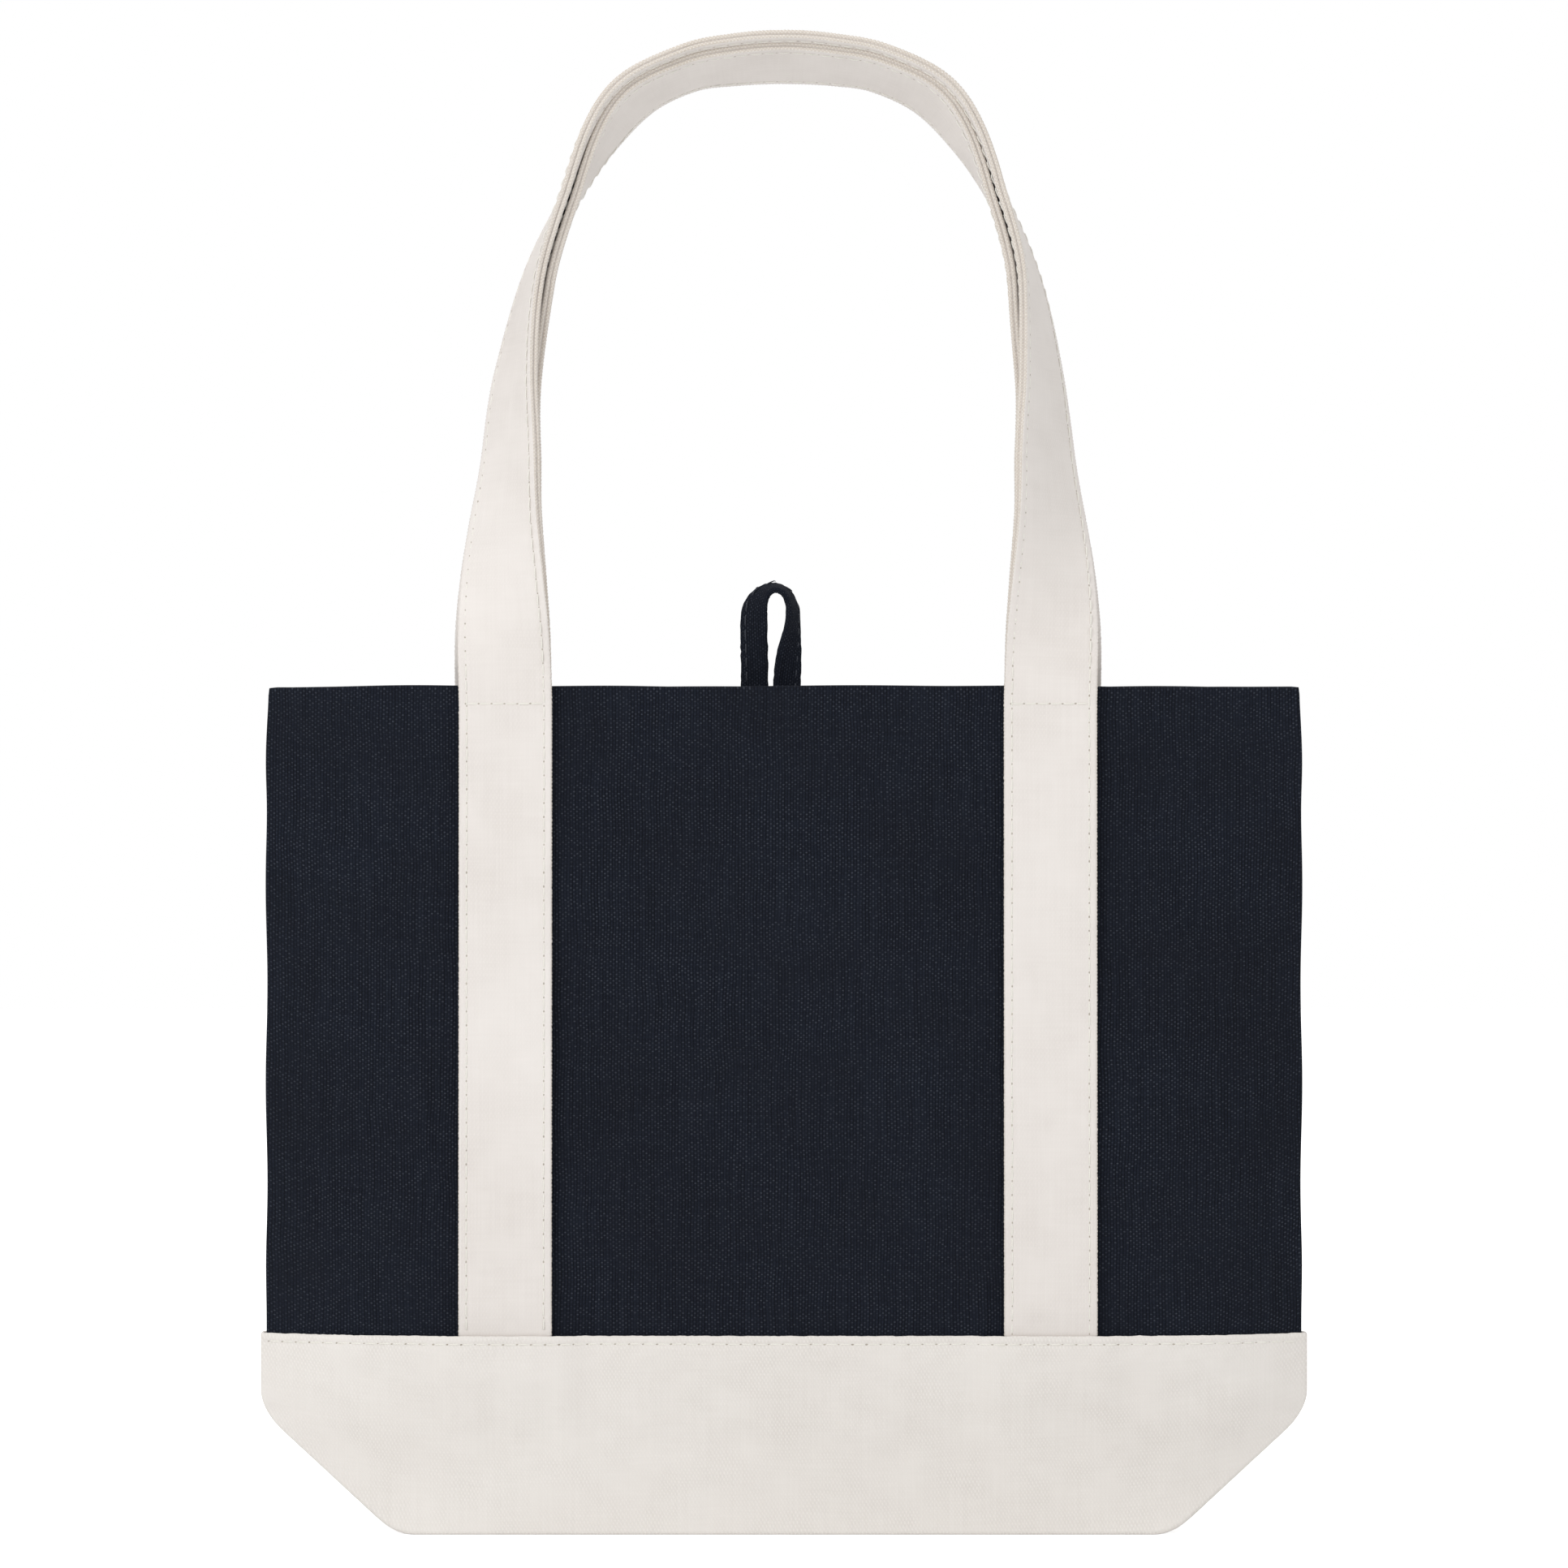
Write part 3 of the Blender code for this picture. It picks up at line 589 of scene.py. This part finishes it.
def build_base(name, side):
    """Half of the cream base: its face, and its half of the bottom folded up inside the bag."""
    bm = bmesh.new()
    columns = column_shares(0.0008)
    top = BASE_HEIGHT - 0.0004
    heights = [FOLD_REACH, FOLD_REACH + 0.0004, FOLD_REACH + 0.0011, FOLD_REACH + 0.002]
    heights += spread(FOLD_REACH + 0.0035, RIDGE - SIDE_CORNER_ROUND, 0.002)
    heights += spread(RIDGE - SIDE_CORNER_ROUND, FIN_TOP, 0.0012)
    heights += spread(FIN_TOP, top - 0.008, 0.0012) + spread(top - 0.008, top, 0.0005) + [top]
    last = len(columns) - 1
    outer, inner = [], []
    for z in heights:
        face_row, inner_row = [], []
        for share in columns:
            x = share * half_width(z)
            depth = skin_depth(x, z, side) + base_lift(x, z, side) + base_relief(x, z, side)
            lip = 0.00045 * bell(BASE_HEIGHT - z, 0.0006)
            frayed = 0.00012 * wander(x, 0.0, 61.0 + side, 0.004) + 0.00010 * wander(x, 0.0, 62.0, 0.0013)
            frayed *= smooth((z - top + 0.002) / 0.002)
            face_row.append(bm.verts.new((x, side * (depth - lip), z + frayed)))
            if z <= FIN_TOP + 1e-6:
                inner_row.append(bm.verts.new((x, side * inner_depth(x, z, side), z)))
        outer.append(face_row)
        if not inner_row:
            inner_row = [None] * len(columns)
            for index in (0, last):
                x, _, height = face_row[index].co
                inner_row[index] = bm.verts.new((x, side * (CANVAS / 2 + 0.0001), height))
        inner.append(inner_row)
    for below, above in zip(outer, outer[1:]):
        add_quads(bm, below, above)
    corner = FULL_HALF - GUSSET / 2
    for below, above, z in zip(inner, inner[1:], heights[1:]):
        if z > RIDGE:
            clear = [abs(abs(share) * FULL_HALF - corner) > 0.011 for share in columns]
            below = [vertex if kept else None for vertex, kept in zip(below, clear)]
        add_quads(bm, below, above)
    levels = range(len(inner) - 1, 0, -1)
    rim = [(level, 0) for level in levels]
    rim += [(0, index) for index in range(len(columns))]
    rim += [(level, last) for level in reversed(levels)]
    turn_edge(bm, [outer[j][i] for j, i in rim], [inner[j][i] for j, i in rim])
    loose = [vertex for vertex in bm.verts if not vertex.link_faces]
    bmesh.ops.delete(bm, geom=loose, context="VERTS")
    bmesh.ops.recalc_face_normals(bm, faces=bm.faces)
    unwrap_flat(bm, 0.021 * side)
    obj = add_object(name, bm, [cream_canvas], "bag", CANVAS)
    return obj


# ---------------------------------------------------------------- straps


def strap_profile(width, thickness):
    """Across a folded strap: (across, out) points all round, with a groove along each edge."""
    half, thick = width / 2, thickness / 2
    row = half - STRAP_ROW
    face = [(half - 0.0009, 1.0), (row + 0.0006, 1.0), (row, 0.965), (row - 0.0007, 1.0)]
    face += [(row * 0.62, 1.03), (row * 0.25, 1.05)]
    face = [(across, out * thick) for across, out in face]
    top = [(-across, out) for across, out in face] + face[::-1]
    edge = [(-0.00025, 0.90), (-0.00005, 0.55), (-0.00010, 0.26), (-0.00045, 0.09), (-0.0010, 0.0)]
    edge = [(half + across, out * thick) for across, out in edge]
    down = edge + [(across, -out) for across, out in reversed(edge[:-1])]
    bottom = [(across, -out) for across, out in reversed(top)]
    up = [(-across, -out) for across, out in down]
    return top + down + bottom + up


def edge_tooth(along, row):
    """How far single yarns stand out of a folded edge, at this distance along it."""
    bumps = math.sin(2 * math.pi * along / EDGE_YARN + 3.0 * wander(along, 0.0, 15.0 + 9 * row, 0.004))
    return 0.00009 * bumps + 0.00007 * wander(along, 0.0, 33.0 + 9 * row, 0.0016)


def build_strip(bm, stations, profile, pressed=lambda middle: 1.0):
    """A solid strip of this profile along stations of (middle, across, out)."""
    layer = bm.loops.layers.uv.verify()
    around = [0.0]
    for (a, b), (c, d) in zip(profile, profile[1:] + profile[:1]):
        around.append(around[-1] + math.hypot(c - a, d - b))
    rings, lengths = [], [0.0]
    reach = max(a for a, _ in profile)
    half = max(b for _, b in profile)
    for index, (middle, across, out) in enumerate(stations):
        if index:
            lengths.append(lengths[-1] + (middle - stations[index - 1][0]).length)
        thin = pressed(middle)
        ring = []
        for a, b in profile:
            row = math.copysign(1.0, a)
            at_edge = smooth((abs(a) - reach + 0.0013) / 0.0010)
            tooth = row * edge_tooth(lengths[-1], row) * at_edge
            lump = EDGE_LUMP * math.sin(2 * math.pi * lengths[-1] / EDGE_YARN + b / half * 1.2)
            lump *= at_edge * b / half
            ring.append(bm.verts.new(middle + across * (a + tooth) + out * (b + lump) * thin))
        rings.append(ring)
    count = len(profile)
    for low, high, start, end in zip(rings, rings[1:], lengths, lengths[1:]):
        for i in range(count):
            j = (i + 1) % count
            face = bm.faces.new((low[i], low[j], high[j], high[i]))
            corners = ((around[i], start), (around[i + 1], start), (around[i + 1], end), (around[i], end))
            for loop, place in zip(face.loops, corners):
                loop[layer].uv = place
            # On a strap, the band along each folded edge takes the cloth with painted shade between its
            # yarns
            if min(abs(profile[i][0]), abs(profile[j][0])) > reach - FOLD_BAND:
                face.material_index = FOLDED_EDGE
    bm.faces.new(rings[0][::-1])
    bm.faces.new(rings[-1])
    bmesh.ops.recalc_face_normals(bm, faces=bm.faces)
    return rings


def half_arch(side, inset, steps):
    """Points of one half of a handle's middle line, from its hinge to the top, with x over 0."""
    half = STRAP_SPACING / 2
    knots = [(half * x, BAG_HEIGHT + HANDLE_RISE * up) for x, up in ARCH_SHAPE]
    knots[0] = (knots[0][0], HINGE_Z)
    knots.append((-knots[-2][0], knots[-2][1]))
    last = (len(knots) - 2) / (len(knots) - 1)
    line = [spline(knots, last * step / steps) for step in range(steps + 1)]
    line = [Vector((x, 0.0, z)) for x, z in line]
    points, length = [], 0.0
    for index, point in enumerate(line):
        if index:
            length += (point - line[index - 1]).length
        run = line[min(index + 1, len(line) - 1)] - line[max(index - 1, 0)]
        inward = Vector((-run.z, 0.0, run.x)).normalized()
        if index == len(line) - 1:
            inward = Vector((0.0, 0.0, -1.0))
        nested = smooth((length - NEST_START) / NEST_LENGTH)
        apart = Vector((strap_x(side) - STRAP_SPACING / 2, 0.0, 0.0)) * (1 - smooth(length / NEST_START))
        points.append(point + inward * inset * nested + apart)
    points[-1].x = 0.0
    return points


def evened(points, spacing):
    """The same line through points this far apart."""
    lengths = line_lengths([(point,) for point in points])
    count = round(lengths[-1] / spacing)
    made, index = [], 0
    for step in range(count + 1):
        want = lengths[-1] * step / count
        while index < len(points) - 2 and lengths[index + 1] < want:
            index += 1
        share = (want - lengths[index]) / max(1e-9, lengths[index + 1] - lengths[index])
        made.append(points[index].lerp(points[index + 1], min(1.0, share)))
    return made


def strap_share(z):
    """Share of its thickness that a strap has: its ends are pressed flat under the base."""
    return PRESSED_END + (1 - PRESSED_END) * smooth((z - BASE_HEIGHT + 0.002) / 0.012)


def strap_stations(side, inset, mirror):
    """(middle, across, out) from the tucked end of one leg, over the hinge, to the top."""
    half = []
    low = BASE_HEIGHT - STRAP_TUCK
    sign = -1 if mirror else 1
    foot = strap_x(side)
    for z in spread(low, HINGE_Z, STATION_PITCH):
        x = STRAP_OFFSET + sign * foot
        lift = STRAP_LIFT - STRAP_THICKNESS / 2 * (1 - strap_share(z))
        y = side * (panel_depth(z) + ripple(x, z, side) + lift)
        half.append((Vector((foot, y, z)), Vector((-1, 0, 0))))
    points = evened(half_arch(side, inset, 240), STATION_PITCH)
    hem_y = side * (panel_depth(HINGE_Z) + STRAP_LIFT)
    length = 0.0
    for index, point in enumerate(points):
        if index:
            length += (point - points[index - 1]).length
        run = points[min(index + 1, len(points) - 1)] - points[max(index - 1, 0)]
        inward = Vector((-run.z, 0.0, run.x)).normalized()
        if index == 0:
            inward = Vector((-1.0, 0.0, 0.0))
        if index == len(points) - 1:
            inward = Vector((0.0, 0.0, -1.0))
        share = min(1.0, max(0.0, (length - TWIST_START) / (TWIST_END - TWIST_START)))
        turn = math.pi / 2 * spline([(part,) for part in TWIST_SHAPE], share)[0]
        turn += ARCH_TILT * smooth((length - 0.170) / 0.042)
        if side == BACK:
            turn -= NEST_TURN * smooth((length - 0.05) / 0.10)
        turn += 0.03 * wander(length, 0.0, 71.0 + sign, 0.035) * smooth(length / 0.04)
        across = inward * math.cos(turn) + Vector((0, -1, 0)) * math.sin(turn)
        y = hem_y + (side * ARCH_DEPTH - hem_y) * smooth(length / LEAN_IN_LENGTH)
        settle = ripple(STRAP_OFFSET + sign * foot, HINGE_Z, side) * (1 - smooth(length / 0.03))
        half.append((Vector((point.x, y + side * settle, point.z)), across))
    if mirror:
        half = [(Vector((-m.x, m.y, m.z)), Vector((-a.x, a.y, a.z))) for m, a in half]
    for middle, _ in half:
        middle.x += STRAP_OFFSET * (1 - smooth((middle.z - BAG_HEIGHT) / HANDLE_RISE * 2.4 - 1.0))
    return half


def whole_strap(side, inset):
    """Stations of a whole strap from its right end to its left, with the outward direction."""
    right = strap_stations(side, inset, False)
    left = strap_stations(side, inset, True)
    path = right + left[:-1][::-1]
    stations = []
    for index, (middle, across) in enumerate(path):
        run = path[min(index + 1, len(path) - 1)][0] - path[max(index - 1, 0)][0]
        out = run.cross(across).normalized()
        across = out.cross(run).normalized()
        stations.append((middle, across, out))
    return stations


def place_along(stations, lengths, distance):
    """The station at this distance along a strap."""
    low, high = 0, len(lengths) - 1
    while high - low > 1:
        middle = (low + high) // 2
        if lengths[middle] <= distance:
            low = middle
        else:
            high = middle
    share = (distance - lengths[low]) / max(1e-9, lengths[high] - lengths[low])
    parts = [a.lerp(b, share) for a, b in zip(stations[low], stations[high])]
    return parts[0], parts[1].normalized(), parts[2].normalized()


def line_lengths(stations):
    lengths = [0.0]
    for a, b in zip(stations, stations[1:]):
        lengths.append(lengths[-1] + (b[0] - a[0]).length)
    return lengths


def add_stitch(bm, start, run, across, out, length):
    """One stitch: a thread that comes up from its hole, lies on the cloth and goes down again."""
    rings = []
    shape = ((0.0, -1.6, 0.75), (0.10, 0.0, 1.0), (0.32, 0.55, 1.0), (0.68, 0.55, 1.0))
    shape += ((0.90, 0.0, 1.0), (1.0, -1.6, 0.75))
    for share, lift, width in shape:
        middle = start + run * (length * share) + out * (lift * THREAD)
        ring = []
        for corner in range(6):
            angle = math.pi / 3 * corner
            place = across * math.cos(angle) * 1.15 + out * math.sin(angle) * 0.9
            ring.append(bm.verts.new(middle + place * THREAD * width))
        rings.append(ring)
    for low, high in zip(rings, rings[1:]):
        for i in range(6):
            face = bm.faces.new((low[i], low[(i + 1) % 6], high[(i + 1) % 6], high[i]))
            face.material_index = THREAD_FACE


def add_hole(bm, middle, run, across, out, size):
    """The shaded needle hole between two stitches."""
    rim = []
    for corner in range(8):
        angle = math.pi / 4 * corner
        place = run * math.cos(angle) * 1.25 + across * math.sin(angle) * 0.9
        rim.append(bm.verts.new(middle + place * size))
    top = bm.verts.new(middle + out * size * 0.15)
    for i in range(8):
        face = bm.faces.new((rim[i], rim[(i + 1) % 8], top))
        face.material_index = HOLE_FACE


def sew(bm, place, start, end, holes=True):
    """Stitches and holes from start to end; place gives (middle, run, across, out) at a distance."""
    count = max(1, round((end - start) / STITCH_PITCH))
    pitch = (end - start) / count
    for index in range(count):
        at = start + pitch * index
        slip = 0.00012 * noise.noise(Vector((at * 900, start * 50, 7.0)))
        middle, run, across, out = place(at)
        add_stitch(bm, middle + across * slip, run, across, out, STITCH_LENGTH)
        if holes:
            gap, run, across, out = place(at - (pitch - STITCH_LENGTH) / 2)
            size = 0.00030 + 0.00015 * noise.noise(Vector((at * 700, 3.0, start * 90)))
            add_hole(bm, gap + across * slip, run, across, out, size)


def build_handle(face, side):
    """One whole strap, from under the base, over the bag and down again, with its stitching."""
    inset = 0.0 if side == FRONT else STRAP_THICKNESS + NEST_GAP
    stations = whole_strap(side, inset)
    lengths = line_lengths(stations)
    bm = bmesh.new()
    profile = strap_profile(STRAP_WIDTH, STRAP_THICKNESS)
    build_strip(bm, stations, profile, lambda middle: strap_share(middle.z))
    strap = add_object(face + "_strap", bm, [cream_strap, shaded_cream_fold], None)

    bm = bmesh.new()
    leg = HINGE_Z - BASE_HEIGHT
    first = STRAP_TUCK + 0.001
    surface = STRAP_THICKNESS / 2 * 0.965 + THREAD * 0.1
    for row in (-1, 1):
        for top in (1, -1):

            def place(distance, row=row, top=top):
                middle, across, out = place_along(stations, lengths, distance)
                near = place_along(stations, lengths, distance + 0.001)[0]
                run = (near - middle).normalized()
                above = surface * strap_share(middle.z)
                at = middle + across * row * (STRAP_WIDTH / 2 - STRAP_ROW) + out * top * above
                return at, run, across, out * top

            if top * side * stations[5][2].y > 0:
                sew(bm, place, first, lengths[-1] - first)
            else:
                sew(bm, place, first + leg + 0.004, lengths[-1] - first - leg - 0.004)
    reach = STRAP_WIDTH / 2 - STRAP_ROW
    for sign in (-1, 1):

        def cross(distance, sign=sign):
            x = STRAP_OFFSET + sign * strap_x(side) + distance
            depth = panel_depth(HINGE_Z) + ripple(x - distance, HINGE_Z, side)
            crown = 1.05 - 0.05 * (distance / reach) ** 2
            y = side * (depth + STRAP_LIFT + STRAP_THICKNESS / 2 * crown + THREAD * 0.2)
            at = Vector((x, y, HINGE_Z - 0.0004))
            return at, Vector((1, 0, 0)), Vector((0, 0, 1)), Vector((0, side, 0))

        sew(bm, cross, -reach, reach)
    stitches = add_object(face + "_strap_stitches", bm, [cream_thread, needle_hole], None)
    for piece in (strap, stitches):
        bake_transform(piece)
    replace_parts(strap, face + "_handle", face + "_strap_left", face + "_strap_right")
    return strap


def build_base_stitches(name, side):
    """The topstitching along the base's upper edge."""
    bm = bmesh.new()
    z = BASE_HEIGHT - BASE_ROW
    reach = half_width(z) - 0.002

    def place(x):
        depth = skin_depth(x, z, side) + base_lift(x, z, side) + base_relief(x, z, side)
        ahead = skin_depth(x + 0.001, z, side) + base_lift(x + 0.001, z, side)
        back = skin_depth(x, z, side) + base_lift(x, z, side)
        run = Vector((0.001, side * (ahead - back), 0.0)).normalized()
        across = Vector((0, 0, 1))
        out = run.cross(across) * (1 if side == FRONT else -1)
        at = Vector((x, side * (depth + CANVAS / 2 + THREAD * 0.3), z))
        return at, run, across, out.normalized()

    sew(bm, place, -reach, reach)
    return add_object(name, bm, [cream_thread, needle_hole], "bag")


def build_hem_stitches(name, side):
    """Navy stitching near the rim and along the hem's lower edge, seen on the cloth inside."""
    bm = bmesh.new()
    for z in (BAG_HEIGHT - 0.0030, BAG_HEIGHT - HEM_DEPTH + 0.0025):
        reach = half_width(z) * 0.90

        def place(x, z=z):
            depth = skin_depth(x, z, side) - (LAYER + CANVAS / 2 + THREAD * 0.3)
            at = Vector((x, side * depth, z))
            return at, Vector((1, 0, 0)), Vector((0, 0, 1)), Vector((0, -side, 0))

        sew(bm, place, -reach, reach, holes=False)
    return add_object(name, bm, [navy_thread], "bag")


# ---------------------------------------------------------------- hanging loop


def loop_depth():
    hem_face = panel_depth(BAG_HEIGHT) - LAYER - CANVAS / 2
    return hem_face - CLEARANCE - LOOP_TAPE_THICKNESS / 2


def spline(points, share):
    """A point on a smooth line through several, each a list of numbers."""
    at = share * (len(points) - 1)
    index = min(len(points) - 2, int(at))
    t = at - index
    a, b, c, d = (points[min(len(points) - 1, max(0, index + step))] for step in (-1, 0, 1, 2))
    made = []
    for p, q, r, s in zip(a, b, c, d):
        made.append(
            0.5 * (2 * q + (r - p) * t + (2 * p - 5 * q + 4 * r - s) * t**2
                   + (3 * q - p - 3 * r + s) * t**3)
        )
    return made


def build_loop():
    """A soft tape that stands up from inside the back hem and turns once on edge over its top."""
    knots = [  # across and up from the rim in millimetres, then the tape's turn in degrees
        (-5.3, -19.0, 0), (-5.3, -8.0, 0), (-5.3, 2.0, 0), (-5.4, 11.0, 4), (-5.6, 20.0, 12),
        (-5.0, 27.0, 32), (-2.2, 31.6, 62), (1.6, 33.2, 76), (5.4, 31.2, 76), (7.4, 26.0, 68),
        (7.2, 19.5, 58), (6.2, 11.0, 30), (5.5, 2.0, 6), (5.3, -8.0, 0), (5.3, -19.0, 0),
    ]
    count = 90
    path = []
    for index in range(count + 1):
        x, up, turn = spline(knots, index / count)
        flat = 1 - smooth((up + 2.0) / 12.0)
        middle = Vector((LOOP_OFFSET + x / 1000, loop_depth(), BAG_HEIGHT + up / 1000))
        middle.y -= 0.0006 * (1 - flat)
        path.append((middle, math.radians(turn)))
    stations = []
    for index, (middle, turn) in enumerate(path):
        run = (path[min(index + 1, count)][0] - path[max(index - 1, 0)][0]).normalized()
        inward = Vector((run.z, 0.0, -run.x))
        across = inward * math.cos(turn) + Vector((0, -1, 0)) * math.sin(turn)
        out = run.cross(across).normalized()
        stations.append((middle, across, out))
    lengths = line_lengths(stations)
    half, thick = LOOP_TAPE_WIDTH / 2, LOOP_TAPE_THICKNESS / 2
    top = [(-half * 0.93, 0.8), (-half * 0.72, 0.95), (-half * 0.60, 0.82), (-half * 0.45, 1.0)]
    top += [(0.0, 1.04), (half * 0.5, 1.02), (half * 0.85, 0.95)]
    profile = [(a, b * thick) for a, b in top] + [(half * 0.99, thick * 0.45), (half * 0.95, 0.0)]
    profile += [(half * 0.99, -thick * 0.45)]
    profile += [(a, -b * thick) for a, b in reversed(top)] + [(-half, -thick * 0.4), (-half, thick * 0.4)]
    bm = bmesh.new()
    build_strip(bm, stations, profile)
    tape = add_object("hanging_loop_tape", bm, [navy_tape, navy_tape], None)
    bm = bmesh.new()
    for facing in (1, -1):

        def place(distance, facing=facing):
            middle, across, out = place_along(stations, lengths, distance)
            near = place_along(stations, lengths, distance + 0.0008)[0]
            at = middle - across * half * 0.60 + out * facing * (thick * 0.82 + THREAD * 0.3)
            return at, (near - middle).normalized(), across, out * facing

        sew(bm, place, 0.002, lengths[-1] - 0.002, holes=False)
    stitches = add_object("hanging_loop_stitches", bm, [navy_thread], None)
    for piece in (tape, stitches):
        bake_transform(piece)
    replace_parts(tape, "hanging_loop", "loop_end_left", "loop_end_right")


# ---------------------------------------------------------------- the pieces

for face, side in (("front", FRONT), ("back", BACK)):
    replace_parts(build_panel(face + "_panel_cloth", side), face + "_panel")
    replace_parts(build_base(face + "_base_cloth", side), face + "_base")
    build_base_stitches(face + "_base_stitches", side)
    build_hem_stitches(face + "_hem_stitches", side)
    build_handle(face, side)
build_loop()
for node in (
    "left_side_seam_binding", "right_side_seam_binding", "bottom_seam_binding",
    "left_corner_seam_binding", "right_corner_seam_binding",
):
    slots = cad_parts[node].material_slots
    for index in range(len(slots)):
        slots[index].material = navy_binding


# ---------------------------------------------------------------- floor, light and camera


FLOOR_REACH = 6.0


def build_stage():
    """A pale flat floor, with nothing standing on it, so that any side can be looked at."""
    bm = bmesh.new()
    ends = (-FLOOR_REACH, FLOOR_REACH)
    rows = [[bm.verts.new((x, y, 0.0)) for x in ends] for y in ends]
    add_quads(bm, rows[0], rows[1])
    bmesh.ops.recalc_face_normals(bm, faces=bm.faces)
    mesh = bpy.data.meshes.new("studio_floor")
    bm.to_mesh(mesh)
    bm.free()
    mesh.shade_smooth()
    nodes = Nodes("studio_paper")
    source = nodes.tree.nodes.new("ShaderNodeTexCoord")
    grain = nodes.noise(source.outputs["Object"], 600.0)
    nodes.link(nodes.mix(grain, (0.90, 0.90, 0.90, 1), (0.93, 0.93, 0.93, 1)),
               nodes.shader.inputs["Base Color"])
    nodes.shader.inputs["Roughness"].default_value = 0.9
    nodes.shader.inputs["Specular IOR Level"].default_value = 0.0
    nodes.shader.inputs["Emission Color"].default_value = (1, 1, 1, 1)
    path = nodes.tree.nodes.new("ShaderNodeLightPath")
    glow = nodes.remap(path.outputs["Is Camera Ray"], 0.0, 1.0, 0.05, 0.75)
    nodes.link(glow, nodes.shader.inputs["Emission Strength"])
    mesh.materials.append(nodes.material)
    obj = bpy.data.objects.new("studio_floor", mesh)
    bpy.context.scene.collection.objects.link(obj)


def add_area(name, place, target, size, power, colour=(1.0, 1.0, 1.0)):
    lamp = bpy.data.lights.new(name, "AREA")
    lamp.shape = "RECTANGLE"
    lamp.size, lamp.size_y = size
    lamp.energy = power
    lamp.color = colour
    obj = bpy.data.objects.new(name, lamp)
    obj.location = place
    aim = Vector(target) - Vector(place)
    obj.rotation_euler = aim.to_track_quat("-Z", "Y").to_euler()
    bpy.context.scene.collection.objects.link(obj)


def build_sky():
    """White light from all round, and a plain white to the camera where nothing is."""
    world = bpy.data.worlds.new("studio")
    bpy.context.scene.world = world
    world.use_nodes = True
    tree = world.node_tree
    sky = tree.nodes["Background"]
    sky.inputs["Color"].default_value = (1.0, 1.0, 1.0, 1.0)
    seen = tree.nodes.new("ShaderNodeLightPath")
    glow = tree.nodes.new("ShaderNodeMapRange")
    glow.inputs["To Min"].default_value = 0.66
    glow.inputs["To Max"].default_value = 1.0
    tree.links.new(seen.outputs["Is Camera Ray"], glow.inputs["Value"])
    tree.links.new(glow.outputs["Result"], sky.inputs["Strength"])


build_stage()
build_sky()
middle = (0.0, 0.0, 0.25)
add_area("key", (-1.1, -1.5, 1.2), middle, (1.2, 1.2), 13.5)
add_area("fill", (1.3, -1.4, 0.7), middle, (1.4, 1.4), 2.6)
add_area("top", (0.0, -0.2, 1.9), middle, (1.6, 1.6), 7.0)
add_area("back", (0.0, 1.4, 1.3), middle, (1.4, 1.0), 4.0)

scene = bpy.context.scene
scene.view_settings.view_transform = "Standard"
camera = bpy.data.cameras.new("camera")
camera.sensor_width = 36.0
camera.lens = 179.0
camera.dof.use_dof = False
camera_object = bpy.data.objects.new("camera", camera)
camera_object.location = (0.0, -2.6, 0.2485)
camera_object.rotation_euler = (math.pi / 2, 0.0, 0.0)
scene.collection.objects.link(camera_object)
scene.camera = camera_object
